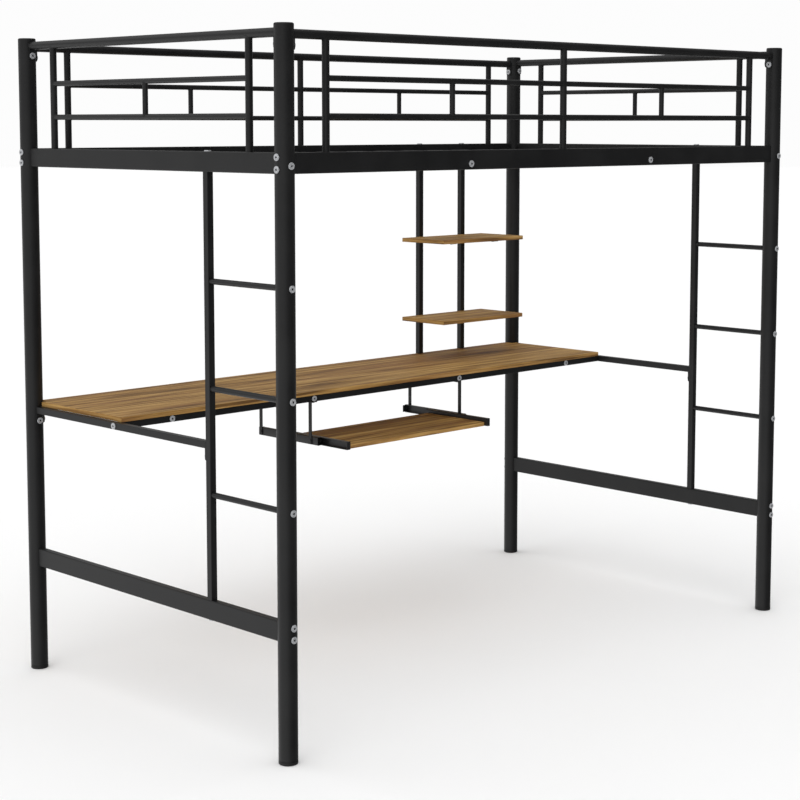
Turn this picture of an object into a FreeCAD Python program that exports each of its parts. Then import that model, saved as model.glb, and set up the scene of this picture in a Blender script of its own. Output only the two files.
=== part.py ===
"""Loft bed with a desk below it: millimetres, +Z up, X along the bed, -Y is the open front.

The origin is on the floor at the middle of the four posts. Each sub-part goes to its own
STEP file in parts/. Welded frames are written as groups of coped tubes that touch and
don't overlap.
"""
import FreeCAD, Part
import os
from math import cos, radians

os.makedirs("parts", exist_ok=True)
V = FreeCAD.Vector
X_DIR, Y_DIR, Z_DIR = V(1, 0, 0), V(0, 1, 0), V(0, 0, 1)

# ---- driving dimensions -------------------------------------------------------------
POST_X = 967.5            # post centre from the middle, along the bed
POST_Y = 526.0            # post centre from the middle, across the bed
HEIGHT = 1721.0           # floor to the top of the post caps
POST_D = 46.6
POST_WALL = 1.2
FOOT_H = 8.0              # foot cap flange under the post
FOOT_GROOVE = 1.0         # reveal between the foot cap flange and the post
FOOT_NECK_IN = 1.0        # foot cap's neck inside the post line
FOOT_CHAMFER = 1.2
TOP_CAP_H = 5.0
TOP_CAP_EDGE = 4.0
TOP_SPIGOT, FOOT_SPIGOT, SPIGOT_WALL, SPIGOT_GAP = 16.0, 24.0, 2.0, 0.05

RAIL_H, RAIL_T, RAIL_WALL = 49.0, 20.0, 1.2    # bed rails and lower end rails
RAIL_CORNER = 3.0
BED_RAIL_Z = 1404.5       # middle of the bed rails
LOW_RAIL_Z = 314.0        # middle of the lower end rails
RAIL_BOLT_GAP = 28.0      # between the two bolts of a double joint
END_RAIL_BOLT_DROP = 6.0  # single bolt below the rail's middle, clear of the crossing pair

SMALL_TUBE, SMALL_WALL, SMALL_CORNER = 18.0, 1.0, 1.5   # desk bars, ladder and shelf uprights
DESK_BAR_Z = 721.0        # middle of the desk bars
BOARD_T = 12.5            # desk and shelf boards
DESK_BEAM_Y = 144.0       # middle of the desk's front beam
DESK_END_GAP = 7.5        # desktop's end inside the post line
DESK_FRONT_Y, DESK_REAR_Y = 132.0, 532.0
DESK_CROSS_X = (-796.0, -296.0, 296.0, 796.0)
NOTCH_GAP = 2.0           # desktop notch around a rear post
UPRIGHT_GAP = 1.0         # desktop notch around a shelf upright
DESK_SCREW_INSET = 90.0   # desk screws from the beams' middles

LADDER_Y = -245.5         # ladder upright's middle
RUNG_D, RUNG_WALL = 14.5, 1.2
RUNG_Z = (599.0, 859.0, 1119.0)

GUARD_TOP_D, GUARD_POST_D, GUARD_BAR_D = 22.0, 18.0, 14.0
GUARD_TUBE_WALL = 1.0
GUARD_TOP_SIDE_Z, GUARD_TOP_END_Z = 1697.0, 1700.5
GUARD_MID_Z, GUARD_LOW_Z = 1599.0, 1511.5
GUARD_SIDE_POSTS = (-841.0, 0.0, 841.0)
GUARD_END_POSTS = (-402.0, 402.0)
TAB_T, TAB_W, TAB_DROP, TAB_TAIL = 3.0, 18.0, 26.0, 11.0
TAB_CORNER = 5.0
DESK_TAB_DROP = 28.5

BED_CROSS_X = 362.0       # cross supports under the slats
BED_CROSS_H, BED_CROSS_T = 28.0, 20.0
BED_CROSS_DROP = 1.0      # cross support's top below the slats' tops
SLAT_W, SLAT_H, SLAT_WALL, SLAT_CORNER = 30.0, 12.0, 1.0, 2.0
SLAT_END_GAP = 1.5
SLATS_PER_BAY = (5, 6, 5)
LEDGE_T, LEDGE_W, LEDGE_GAP = 2.0, 22.0, 1.0     # strip inside each side rail, under the slats
MATTRESS_LINE = 1410.0    # top of the slats
PIN_R, PIN_LEN, PIN_SINK = 4.0, 36.0, 4.0

SHELF_X, SHELF_POST_OFFSET = 612.0, 98.0
SHELF_LEN, SHELF_DEPTH = 375.0, 190.5
SHELF_TOPS = {"lower": 870.5, "upper": 1127.5}
ARM_W, ARM_T, ARM_LEN = 20.0, 5.0, 150.0
ARM_SCREW_FRONT, ARM_SCREW_REAR = 15.0, 25.0     # screws from the two ends of an arm

TRAY_HALF, TRAY_FRONT, TRAY_REAR = 279.0, 12.0, 253.0
TRAY_Z = 589.5            # underside of the tray board
TRAY_BOARD_T = 12.0
TRAY_SCREW_INSET = 30.0
HANGER_X, HANGER_T, HANGER_W, HANGER_FOOT = 304.0, 2.5, 12.0, 20.0
HANGER_Y = (142.0, 359.0)
HANGER_BOTTOM = 590.5
HANGER_SCREW_LEN = 6.5    # short enough to pass under the bolts of the cross bars
SLIDE_T, SLIDE_BOTTOM, SLIDE_TOP = 1.5, 589.0, 613.0
FIXED_FRONT, FIXED_REAR, FIXED_FLANGE = 112.0, 370.0, 10.5
MOVER_FRONT, MOVER_REAR, MOVER_FLANGE = 2.5, 261.0, 13.0
ROLLER_R, ROLLER_GAP, AXLE_R = 9.0, 0.3, 2.5
ROLLER_EDGE, ROLLER_SIDE_GAP, ROLLER_LIP_GAP = 0.8, 1.0, 1.5
FIXED_ROLLER_Y, MOVER_ROLLER_Y = 124.0, 249.0
MOVER_GAP = 0.5           # between the two channels, above and below
STOP_REACH = 4.0          # fixed channel's rear stop overlaps the moving channel by this

BOLT_R, HEAD_R, HEAD_T, SOCKET_AF, SOCKET_DEPTH = 3.0, 8.5, 2.6, 5.0, 2.0
HEAD_EDGE = 1.2
HOLE_GAP, THREAD_GAP = 0.4, 0.05
INSERT_LEN = 14.0         # threaded end block inside a tube
INSERT_COVER = 3.0        # end block left beyond a bolt's tip
BLOCK_BITE = 6.0          # end block's start inside the post line, before it is coped
WALL_NUT_LEN = 12.0       # a tab's bolt beyond the tab
SCREW_R, SCREW_HEAD_R, SCREW_HEAD_T, SCREW_HEAD_EDGE = 2.0, 4.0, 1.6, 0.8
SCREW_COVER = 4.0         # board left above a screw's tip
SUNK_HEAD_R, TRAY_SCREW_LEN = 3.4, 15.0
OVERRUN = 1.0             # a cutting shape's reach past the surface that it cuts
LEAST_CORNER = 0.4        # smallest radius inside a tube
TINY = 1e-6

# ---- worked out ---------------------------------------------------------------------
POST_R = POST_D / 2
POST_FACE_X, POST_FACE_Y = POST_X - POST_R, POST_Y - POST_R
TUBE_BOTTOM = FOOT_H + FOOT_GROOVE
TUBE_TOP = HEIGHT - TOP_CAP_H
BED_RAIL_TOP, BED_RAIL_BOTTOM = BED_RAIL_Z + RAIL_H / 2, BED_RAIL_Z - RAIL_H / 2
LOW_RAIL_TOP = LOW_RAIL_Z + RAIL_H / 2
DESK_TOP_OF_BARS = DESK_BAR_Z + SMALL_TUBE / 2
DESK_UNDER_BARS = DESK_BAR_Z - SMALL_TUBE / 2
DESK_TOP = DESK_TOP_OF_BARS + BOARD_T
DESK_TAB_BOLT_Z = DESK_BAR_Z - DESK_TAB_DROP
SIDES = {"left": -1, "right": 1}
ROWS = {"front": -1, "rear": 1}
HALF_SMALL = SMALL_TUBE / 2
RAIL_BOLT_Z = (-RAIL_BOLT_GAP / 2, RAIL_BOLT_GAP / 2)
CROSS_Z = MATTRESS_LINE - BED_CROSS_DROP - BED_CROSS_H / 2
POST_BOLT_LEN = POST_D + INSERT_LEN - INSERT_COVER
RAIL_BOLT_LEN = RAIL_H + INSERT_LEN - INSERT_COVER
BEAM_BOLT_LEN = SMALL_TUBE + INSERT_LEN - INSERT_COVER
CROSS_BOLT_LEN = RAIL_T + INSERT_LEN - INSERT_COVER
DESK_SCREW_LEN = SMALL_TUBE + BOARD_T - SCREW_COVER
SHELF_SCREW_LEN = ARM_T + BOARD_T - SCREW_COVER


# ---- shape helpers ------------------------------------------------------------------
def box(x, y, z):
    """A box from three (low, high) pairs."""
    spans = [sorted(pair) for pair in (x, y, z)]
    sizes = [high - low for low, high in spans]
    return Part.makeBox(*sizes, V(*[low for low, high in spans]))


def rod(radius, start, end):
    """A solid cylinder from one point to another."""
    return Part.makeCylinder(radius, start.distanceToPoint(end), start, end - start)


def pipe(radius, wall, start, end):
    """A hollow round tube."""
    return rod(radius, start, end).cut(rod(radius - wall, start, end))


def bar(wide, tall, corner, start, end):
    """A solid bar with rounded long edges, whose wide side lies flat or along X when it stands."""
    if (end - start).dot(V(1, 1, 1)) < 0:
        start, end = end, start
    run = end - start
    length = run.Length
    shape = Part.makeBox(wide, tall, length, V(-wide / 2, -tall / 2, 0))
    long_edges = [e for e in shape.Edges if abs(e.Length - length) < TINY and is_upright(e)]
    shape = shape.makeFillet(corner, long_edges)
    if abs(run.x) > 0:
        shape.rotate(V(0, 0, 0), V(1, 1, 1), 120)
    elif abs(run.y) > 0:
        shape.rotate(V(0, 0, 0), X_DIR, -90)
    shape.translate(start)
    return shape


def is_upright(edge):
    """True for an edge that runs along Z."""
    return abs(edge.tangentAt(edge.FirstParameter).z) > 0.99


def box_tube(wide, tall, corner, wall, start, end):
    """A hollow rectangular tube."""
    inner = bar(wide - 2 * wall, tall - 2 * wall, max(corner - wall, LEAST_CORNER), start, end)
    return bar(wide, tall, corner, start, end).cut(inner)


def square_tube(start, end):
    """The small square tube of the desk, ladder and shelf uprights."""
    return box_tube(SMALL_TUBE, SMALL_TUBE, SMALL_CORNER, SMALL_WALL, start, end)


def square_plug(start, end):
    """A threaded end block that fills the small square tube."""
    inside = SMALL_TUBE - 2 * SMALL_WALL
    return bar(inside, inside, SMALL_CORNER - SMALL_WALL, start, end)


def end_plugs(low, high):
    """The two end blocks of a standing square tube."""
    rise = Z_DIR * INSERT_LEN
    return [square_plug(low, low + rise), square_plug(high - rise, high)]


def post_core(sx, sy):
    """The full cylinder of a post, used to cope whatever butts against it."""
    base = V(sx * POST_X, sy * POST_Y, 0)
    return rod(POST_R, base, base + Z_DIR * HEIGHT)


def all_posts():
    """The four post cylinders as one cutting tool."""
    return Part.makeCompound([post_core(sx, sy) for sx in (-1, 1) for sy in (-1, 1)])


def drill(shape, holes):
    """Cuts a list of rods out of a shape."""
    return shape.cut(Part.makeCompound(holes)) if holes else shape


def write(name, *shapes):
    """Writes one node as the separate solids of the given shapes."""
    solids = [solid for shape in shapes for solid in shape.Solids]
    group = solids[0] if len(solids) == 1 else Part.makeCompound(solids)
    group.exportStep("parts/" + name + ".step")


# ---- fasteners ----------------------------------------------------------------------
class Bolt:
    """A flat-headed furniture bolt: seat is under the head, the shank runs along aim."""

    def __init__(self, seat, aim, length):
        self.seat, self.aim, self.length = seat, aim, length

    def solid(self):
        head_top = self.seat - self.aim * HEAD_T
        head = rod(HEAD_R, head_top, self.seat)
        rim = [e for e in head.Edges if e.isClosed() and is_at(e, head_top, self.aim)]
        head = head.makeFillet(HEAD_EDGE, rim)
        socket = hex_prism(SOCKET_AF / 2, head_top, head_top + self.aim * SOCKET_DEPTH)
        return head.fuse(rod(BOLT_R, self.seat, self.seat + self.aim * self.length)).cut(socket)

    def hole(self, gap):
        start = self.seat - self.aim * OVERRUN
        return rod(BOLT_R + gap, start, self.seat + self.aim * (self.length + OVERRUN))

    def clearance(self):
        return self.hole(HOLE_GAP)

    def thread(self):
        return self.hole(THREAD_GAP)


def is_at(edge, point, normal):
    """True for an edge in the plane through point."""
    return abs((edge.Vertexes[0].Point - point).dot(normal)) < TINY


def hex_prism(apothem, start, end):
    """A hexagonal prism for a key socket."""
    axis = (end - start).normalize()
    side = Z_DIR if abs(axis.z) < 0.5 else X_DIR
    radius = apothem / cos(radians(30))
    turn = FreeCAD.Rotation(axis, 60)
    corners = [side * radius]
    for _ in range(5):
        corners.append(turn.multVec(corners[-1]))
    ring = [start + corner for corner in corners]
    face = Part.Face(Part.makePolygon(ring + ring[:1]))
    return face.extrude(end - start)


def clearances(bolts):
    return [bolt.clearance() for bolt in bolts]


def threads(bolts):
    return [bolt.thread() for bolt in bolts]


def solids_of(bolts):
    return [bolt.solid() for bolt in bolts]


def along_x_into_rail(sx, sy, z):
    """From a post's outer X face, through it, into a rail along X."""
    seat = V(sx * (POST_X + POST_R), sy * POST_Y, z)
    return Bolt(seat, X_DIR * -sx, POST_BOLT_LEN)


def along_y_into_rail(sx, sy, z):
    """From a post's outer Y face, through it, into a rail along Y."""
    seat = V(sx * POST_X, sy * (POST_Y + POST_R), z)
    return Bolt(seat, Y_DIR * -sy, POST_BOLT_LEN)


CORNERS = [(sx, sy) for sx in (-1, 1) for sy in (-1, 1)]
SIDE_RAIL_BOLTS = {c: [along_x_into_rail(*c, BED_RAIL_Z + dz) for dz in RAIL_BOLT_Z] for c in CORNERS}
END_RAIL_BOLTS = {c: [along_y_into_rail(*c, BED_RAIL_Z - END_RAIL_BOLT_DROP)] for c in CORNERS}
LOW_RAIL_BOLTS = {c: [along_y_into_rail(*c, LOW_RAIL_Z + dz) for dz in RAIL_BOLT_Z] for c in CORNERS}
RUNG_BOLTS = {sx: [along_y_into_rail(sx, -1, z) for z in RUNG_Z] for sx in (-1, 1)}


def tab_bolt(seat, aim):
    """From a tab into the wall nut of the post or upright behind it."""
    return Bolt(seat, aim, TAB_T + WALL_NUT_LEN)


def side_tab_bolt(sx, sy, z):
    return tab_bolt(V(sx * (POST_FACE_X - TAB_T), sy * POST_Y, z), X_DIR * sx)


def end_tab_bolt(sx, sy, z):
    return tab_bolt(V(sx * POST_X, sy * (POST_FACE_Y - TAB_T), z), Y_DIR * sy)


GUARD_SIDE_BOLTS = {c: side_tab_bolt(*c, GUARD_TOP_SIDE_Z - TAB_DROP) for c in CORNERS}
GUARD_END_BOLTS = {c: end_tab_bolt(*c, GUARD_TOP_END_Z - TAB_DROP) for c in CORNERS}
DESK_REAR_TAB_BOLTS = {sx: side_tab_bolt(sx, 1, DESK_TAB_BOLT_Z) for sx in (-1, 1)}
DESK_END_TAB_BOLTS = {sx: end_tab_bolt(sx, 1, DESK_TAB_BOLT_Z) for sx in (-1, 1)}


def post_bolts(sx, sy):
    """Every bolt that enters one post."""
    corner = (sx, sy)
    bolts = SIDE_RAIL_BOLTS[corner] + END_RAIL_BOLTS[corner] + LOW_RAIL_BOLTS[corner]
    bolts = bolts + [GUARD_SIDE_BOLTS[corner], GUARD_END_BOLTS[corner]]
    if sy < 0:
        return bolts + RUNG_BOLTS[sx]
    return bolts + [DESK_REAR_TAB_BOLTS[sx], DESK_END_TAB_BOLTS[sx]]


# ---- posts and caps -----------------------------------------------------------------
def make_post(sx, sy):
    base = V(sx * POST_X, sy * POST_Y, TUBE_BOTTOM)
    tube = pipe(POST_R, POST_WALL, base, base + Z_DIR * (TUBE_TOP - TUBE_BOTTOM))
    return drill(tube, clearances(post_bolts(sx, sy)))


def cap_spigot(centre, low, high):
    """The hollow plug of a cap, inside the post's end."""
    radius = POST_R - POST_WALL - SPIGOT_GAP
    return pipe(radius, SPIGOT_WALL, centre + Z_DIR * low, centre + Z_DIR * high)


def make_top_cap(sx, sy):
    centre = V(sx * POST_X, sy * POST_Y, 0)
    disc = rod(POST_R, centre + Z_DIR * TUBE_TOP, centre + Z_DIR * HEIGHT)
    rim = [e for e in disc.Edges if e.isClosed() and is_at(e, V(0, 0, HEIGHT), Z_DIR)]
    disc = disc.makeFillet(TOP_CAP_EDGE, rim)
    return disc.fuse(cap_spigot(centre, TUBE_TOP - TOP_SPIGOT, TUBE_TOP))


def make_foot_cap(sx, sy):
    centre = V(sx * POST_X, sy * POST_Y, 0)
    disc = rod(POST_R, centre, centre + Z_DIR * FOOT_H)
    disc = disc.makeChamfer(FOOT_CHAMFER, [e for e in disc.Edges if e.isClosed()])
    neck = rod(POST_R - FOOT_NECK_IN, centre + Z_DIR * FOOT_H, centre + Z_DIR * TUBE_BOTTOM)
    return disc.fuse(neck).fuse(cap_spigot(centre, TUBE_BOTTOM, TUBE_BOTTOM + FOOT_SPIGOT))


# ---- rails --------------------------------------------------------------------------
def vertical_bolt(x, y, seat_z, aim, length):
    return Bolt(V(x, y, seat_z), Z_DIR * aim, length)


LADDER_BOLTS = {
    sx: [
        vertical_bolt(sx * POST_X, LADDER_Y, BED_RAIL_TOP, -1, RAIL_BOLT_LEN),
        vertical_bolt(sx * POST_X, LADDER_Y, LOW_RAIL_Z - RAIL_H / 2, 1, RAIL_BOLT_LEN),
    ]
    for sx in (-1, 1)
}
SHELF_POST_XS = (SHELF_X - SHELF_POST_OFFSET, SHELF_X + SHELF_POST_OFFSET)
SHELF_BOLTS = {
    x: [
        vertical_bolt(x, POST_Y, BED_RAIL_TOP, -1, RAIL_BOLT_LEN),
        vertical_bolt(x, POST_Y, DESK_UNDER_BARS, 1, BEAM_BOLT_LEN),
    ]
    for x in SHELF_POST_XS
}


def cross_support_bolt(sx, sy):
    seat = V(sx * BED_CROSS_X, sy * (POST_Y + RAIL_T / 2), CROSS_Z)
    return Bolt(seat, Y_DIR * -sy, CROSS_BOLT_LEN)


CROSS_BOLTS = {c: cross_support_bolt(*c) for c in CORNERS}
GUARD_PINS = [(x, sy * POST_Y) for sy in (-1, 1) for x in GUARD_SIDE_POSTS]
GUARD_PINS = GUARD_PINS + [(sx * POST_X, y) for sx in (-1, 1) for y in GUARD_END_POSTS]


def guard_pin(x, y):
    """A pin welded in a bed rail's top, over which a guard upright slides."""
    low = BED_RAIL_TOP - RAIL_WALL - PIN_SINK
    return rod(PIN_R, V(x, y, low), V(x, y, low + PIN_LEN))


def pin_holes(places):
    return [rod(PIN_R, V(x, y, BED_RAIL_Z), V(x, y, BED_RAIL_TOP + OVERRUN)) for x, y in places]


def rail_block(centre, along):
    """A threaded block in a rail's end: centre is the post centre, along points into the rail."""
    start = centre + along * (POST_R - BLOCK_BITE)
    end = centre + along * (POST_R + INSERT_LEN)
    return bar(RAIL_T - 2 * RAIL_WALL, RAIL_H - 2 * RAIL_WALL, RAIL_CORNER - RAIL_WALL, start, end)


def rail_tube(start, end):
    """A bed or end rail tube, standing on its narrow edge."""
    return box_tube(RAIL_T, RAIL_H, RAIL_CORNER, RAIL_WALL, start, end)


def make_rail(start, end, bolts, passing):
    """A rail between two posts: a coped tube and a threaded block at each end."""
    along = (end - start).normalize()
    blocks = [rail_block(start, along), rail_block(end, along * -1)]
    posts = all_posts()
    tube = drill(rail_tube(start, end).cut(posts), passing)
    return [tube] + [drill(block.cut(posts), threads(bolts)) for block in blocks]


def make_side_rail(sy):
    start, end = V(-POST_X, sy * POST_Y, BED_RAIL_Z), V(POST_X, sy * POST_Y, BED_RAIL_Z)
    bolts = SIDE_RAIL_BOLTS[(-1, sy)] + SIDE_RAIL_BOLTS[(1, sy)]
    passing = [CROSS_BOLTS[(sx, sy)].clearance() for sx in (-1, 1)]
    passing = passing + pin_holes([place for place in GUARD_PINS if place[1] == sy * POST_Y])
    if sy > 0:
        passing = passing + [SHELF_BOLTS[x][0].clearance() for x in SHELF_POST_XS]
    ledge_y = sy * (POST_Y - RAIL_T / 2)
    slat_under = MATTRESS_LINE - SLAT_H
    reach = POST_FACE_X - LEDGE_GAP
    ledge = box((-reach, reach), (ledge_y, ledge_y - sy * LEDGE_W), (slat_under - LEDGE_T, slat_under))
    gaps = [cross_slot(sx) for sx in (-1, 1)]
    return make_rail(start, end, bolts, passing) + [drill(ledge, gaps)]


def cross_slot(sx):
    """The break in a ledge where a cross support meets the side rail."""
    middle = sx * BED_CROSS_X
    half = BED_CROSS_T / 2 + LEDGE_GAP
    return box((middle - half, middle + half), (-POST_Y, POST_Y), (BED_RAIL_BOTTOM, BED_RAIL_TOP))


def make_upper_end_rail(sx):
    start, end = V(sx * POST_X, -POST_Y, BED_RAIL_Z), V(sx * POST_X, POST_Y, BED_RAIL_Z)
    passing = [LADDER_BOLTS[sx][0].clearance()]
    passing = passing + pin_holes([place for place in GUARD_PINS if place[0] == sx * POST_X])
    return make_rail(start, end, END_RAIL_BOLTS[(sx, -1)] + END_RAIL_BOLTS[(sx, 1)], passing)


def make_lower_end_rail(sx):
    start, end = V(sx * POST_X, -POST_Y, LOW_RAIL_Z), V(sx * POST_X, POST_Y, LOW_RAIL_Z)
    bolts = LOW_RAIL_BOLTS[(sx, -1)] + LOW_RAIL_BOLTS[(sx, 1)]
    return make_rail(start, end, bolts, [LADDER_BOLTS[sx][1].clearance()])


# ---- bed base -----------------------------------------------------------------------
def make_cross_support(sx):
    """A bar across the bed, bolted to both side rails, with its top level with the slats."""
    inner_y = POST_Y - RAIL_T / 2
    start, end = V(sx * BED_CROSS_X, -inner_y, CROSS_Z), V(sx * BED_CROSS_X, inner_y, CROSS_Z)
    tube = box_tube(BED_CROSS_T, BED_CROSS_H, RAIL_CORNER, RAIL_WALL, start, end)
    inside = (BED_CROSS_T - 2 * RAIL_WALL, BED_CROSS_H - 2 * RAIL_WALL)
    corner = RAIL_CORNER - RAIL_WALL
    front = bar(*inside, corner, start, start + Y_DIR * INSERT_LEN)
    rear = bar(*inside, corner, end - Y_DIR * INSERT_LEN, end)
    return [
        tube,
        drill(front, [CROSS_BOLTS[(sx, -1)].thread()]),
        drill(rear, [CROSS_BOLTS[(sx, 1)].thread()]),
    ]


def slat_positions():
    """X of every slat, by bay: evenly spaced between the end rails and the cross supports."""
    edges = (-POST_FACE_X, -BED_CROSS_X, BED_CROSS_X, POST_FACE_X)
    bays = []
    for low, high, count in zip(edges, edges[1:], SLATS_PER_BAY):
        step = (high - low) / count
        bays.append([low + step * (i + 0.5) for i in range(count)])
    return bays


def make_slat(x):
    """A flat steel slat tube lying on the two ledges."""
    reach = POST_Y - RAIL_T / 2 - SLAT_END_GAP
    z = MATTRESS_LINE - SLAT_H / 2
    return box_tube(SLAT_W, SLAT_H, SLAT_CORNER, SLAT_WALL, V(x, -reach, z), V(x, reach, z))


# ---- ladders ------------------------------------------------------------------------
def make_ladder_upright(sx):
    low, high = V(sx * POST_X, LADDER_Y, LOW_RAIL_TOP), V(sx * POST_X, LADDER_Y, BED_RAIL_BOTTOM)
    tab_hole = LADDER_TAB_BOLTS[sx].clearance()
    tube = square_tube(low, high).cut(tab_hole)
    return [tube] + [drill(plug, threads(LADDER_BOLTS[sx])) for plug in end_plugs(low, high)]


def make_rung(sx, bolt):
    """A round rung from the ladder upright to the front post, with a threaded plug at the post."""
    z = bolt.seat.z
    start, end = V(sx * POST_X, LADDER_Y - HALF_SMALL, z), V(sx * POST_X, -POST_Y, z)
    inner = RUNG_D / 2 - RUNG_WALL
    plug = rod(inner, V(sx * POST_X, -POST_FACE_Y + INSERT_LEN, z), end)
    post = post_core(sx, -1)
    return [pipe(RUNG_D / 2, RUNG_WALL, start, end).cut(post), plug.cut(post).cut(bolt.thread())]


# ---- guard rails --------------------------------------------------------------------
def guard_frame(ends, posts, top_z, tab_bolts):
    """A welded guard panel along the line between two post centres.

    ends are the two post centres, posts the places of the uprights along that line from its
    middle, and tab_bolts the bolts that hold the tab under each end of the top rail.
    """
    start, end = ends
    along = (end - start).normalize()
    middle = (start + end) * 0.5

    def at(place, z):
        return V(middle.x + along.x * place, middle.y + along.y * place, z)

    top_rod = rod(GUARD_TOP_D / 2, at(-POST_X, top_z), at(POST_X, top_z))
    half = (end - start).Length / 2
    corners = all_posts()
    top = pipe(GUARD_TOP_D / 2, GUARD_TUBE_WALL, at(-half, top_z), at(half, top_z)).cut(corners)
    uprights = [
        pipe(GUARD_POST_D / 2, GUARD_TUBE_WALL, at(p, BED_RAIL_TOP), at(p, top_z)).cut(top_rod)
        for p in posts
    ]
    cores = [rod(GUARD_POST_D / 2, at(p, BED_RAIL_TOP), at(p, top_z)) for p in posts]
    bars = []
    for low, high in zip(posts, posts[1:]):
        bars = bars + guard_bay(at, low, high, Part.makeCompound(cores))
    tabs = [guard_tab(bolt, top_rod) for bolt in tab_bolts]
    return [top] + uprights + bars + tabs


def guard_bay(at, low, high, cores):
    """The middle bar, the low bar and the short post of one bay, each coped to its neighbours."""
    radius = GUARD_BAR_D / 2
    levels = (GUARD_LOW_Z, GUARD_MID_Z)
    rods = [rod(radius, at(low, z), at(high, z)) for z in levels]
    pipes = [pipe(radius, GUARD_TUBE_WALL, at(low, z), at(high, z)).cut(cores) for z in levels]
    centre = (low + high) / 2
    short = pipe(radius, GUARD_TUBE_WALL, at(centre, GUARD_LOW_Z), at(centre, GUARD_MID_Z))
    return pipes + [short.cut(Part.makeCompound(rods))]


def tab_plate(bolt, top_z, keep_off):
    """A flat tab behind a bolt head, hanging from the tube above it."""
    across = Y_DIR if abs(bolt.aim.x) > 0.5 else X_DIR
    low = bolt.seat.z - TAB_TAIL
    one = bolt.seat - across * (TAB_W / 2)
    two = bolt.seat + across * (TAB_W / 2) + bolt.aim * TAB_T
    plate = box((one.x, two.x), (one.y, two.y), (low, top_z))
    bottom = [e for e in plate.Edges if is_low_corner(e, low, bolt.aim)]
    plate = plate.makeFillet(TAB_CORNER, bottom)
    return plate.cut(keep_off).cut(bolt.clearance())


def is_low_corner(edge, low, aim):
    """True for the two bottom edges of a tab that run through its thickness."""
    level = all(abs(v.Point.z - low) < TINY for v in edge.Vertexes)
    return level and abs(edge.tangentAt(edge.FirstParameter).dot(aim)) > 0.99


def guard_tab(bolt, top_rod):
    top_z = top_rod.CenterOfMass.z
    return tab_plate(bolt, top_z, top_rod)


def make_side_guard(sy):
    ends = (V(-POST_X, sy * POST_Y, 0), V(POST_X, sy * POST_Y, 0))
    bolts = [GUARD_SIDE_BOLTS[(sx, sy)] for sx in (-1, 1)]
    return guard_frame(ends, GUARD_SIDE_POSTS, GUARD_TOP_SIDE_Z, bolts)


def make_end_guard(sx):
    ends = (V(sx * POST_X, -POST_Y, 0), V(sx * POST_X, POST_Y, 0))
    bolts = [GUARD_END_BOLTS[(sx, sy)] for sy in (-1, 1)]
    return guard_frame(ends, GUARD_END_POSTS, GUARD_TOP_END_Z, bolts)


# ---- desk ---------------------------------------------------------------------------
def beam_end_bolt(sx):
    """Through a desk end rail into the front beam's end."""
    seat = V(sx * (POST_X + HALF_SMALL), DESK_BEAM_Y, DESK_BAR_Z)
    return Bolt(seat, X_DIR * -sx, BEAM_BOLT_LEN)


def cross_bar_bolts(x):
    """Through the front beam and through the rear beam into a cross bar's ends."""
    front = V(x, DESK_BEAM_Y - HALF_SMALL, DESK_BAR_Z)
    rear = V(x, POST_Y + HALF_SMALL, DESK_BAR_Z)
    return [Bolt(front, Y_DIR, BEAM_BOLT_LEN), Bolt(rear, Y_DIR * -1, BEAM_BOLT_LEN)]


BEAM_END_BOLTS = {sx: beam_end_bolt(sx) for sx in (-1, 1)}
DESK_CROSS_BOLTS = {x: cross_bar_bolts(x) for x in DESK_CROSS_X}
LADDER_TAB_Y = LADDER_Y + HALF_SMALL + TAB_T
LADDER_TAB_BOLTS = {
    sx: tab_bolt(V(sx * POST_X, LADDER_TAB_Y, DESK_TAB_BOLT_Z), Y_DIR * -1)
    for sx in (-1, 1)
}


def make_desk_end_rail(sx):
    front = V(sx * POST_X, LADDER_Y + HALF_SMALL, DESK_BAR_Z)
    rear = V(sx * POST_X, POST_Y, DESK_BAR_Z)
    tube = square_tube(front, rear).cut(post_core(sx, 1)).cut(BEAM_END_BOLTS[sx].clearance())
    solid_rail = bar(SMALL_TUBE, SMALL_TUBE, SMALL_CORNER, front, rear)
    bolts = (LADDER_TAB_BOLTS[sx], DESK_END_TAB_BOLTS[sx])
    return [tube] + [tab_plate(bolt, DESK_UNDER_BARS, solid_rail) for bolt in bolts]


def make_desk_front_beam():
    reach = POST_X - HALF_SMALL
    start, end = V(-reach, DESK_BEAM_Y, DESK_BAR_Z), V(reach, DESK_BEAM_Y, DESK_BAR_Z)
    passing = [DESK_CROSS_BOLTS[x][0].clearance() for x in DESK_CROSS_X]
    tube = drill(square_tube(start, end), passing + hanger_screw_holes(HANGER_Y[0]))
    left = square_plug(start, start + X_DIR * INSERT_LEN).cut(BEAM_END_BOLTS[-1].thread())
    right = square_plug(end - X_DIR * INSERT_LEN, end).cut(BEAM_END_BOLTS[1].thread())
    return [tube, left, right]


def make_desk_rear_beam():
    start, end = V(-POST_X, POST_Y, DESK_BAR_Z), V(POST_X, POST_Y, DESK_BAR_Z)
    passing = [DESK_CROSS_BOLTS[x][1].clearance() for x in DESK_CROSS_X]
    passing = passing + [SHELF_BOLTS[x][1].clearance() for x in SHELF_POST_XS]
    tube = drill(square_tube(start, end).cut(all_posts()), passing)
    solid_beam = bar(SMALL_TUBE, SMALL_TUBE, SMALL_CORNER, start, end)
    bolts = [DESK_REAR_TAB_BOLTS[sx] for sx in (-1, 1)]
    return [tube] + [tab_plate(bolt, DESK_UNDER_BARS, solid_beam) for bolt in bolts]


def make_desk_cross_bar(x):
    start, end = V(x, DESK_BEAM_Y + HALF_SMALL, DESK_BAR_Z), V(x, POST_Y - HALF_SMALL, DESK_BAR_Z)
    holes = hanger_screw_holes(HANGER_Y[1]) + desk_screw_holes()
    front = square_plug(start, start + Y_DIR * INSERT_LEN).cut(DESK_CROSS_BOLTS[x][0].thread())
    rear = square_plug(end - Y_DIR * INSERT_LEN, end).cut(DESK_CROSS_BOLTS[x][1].thread())
    return [drill(square_tube(start, end), holes), front, rear]


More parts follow.
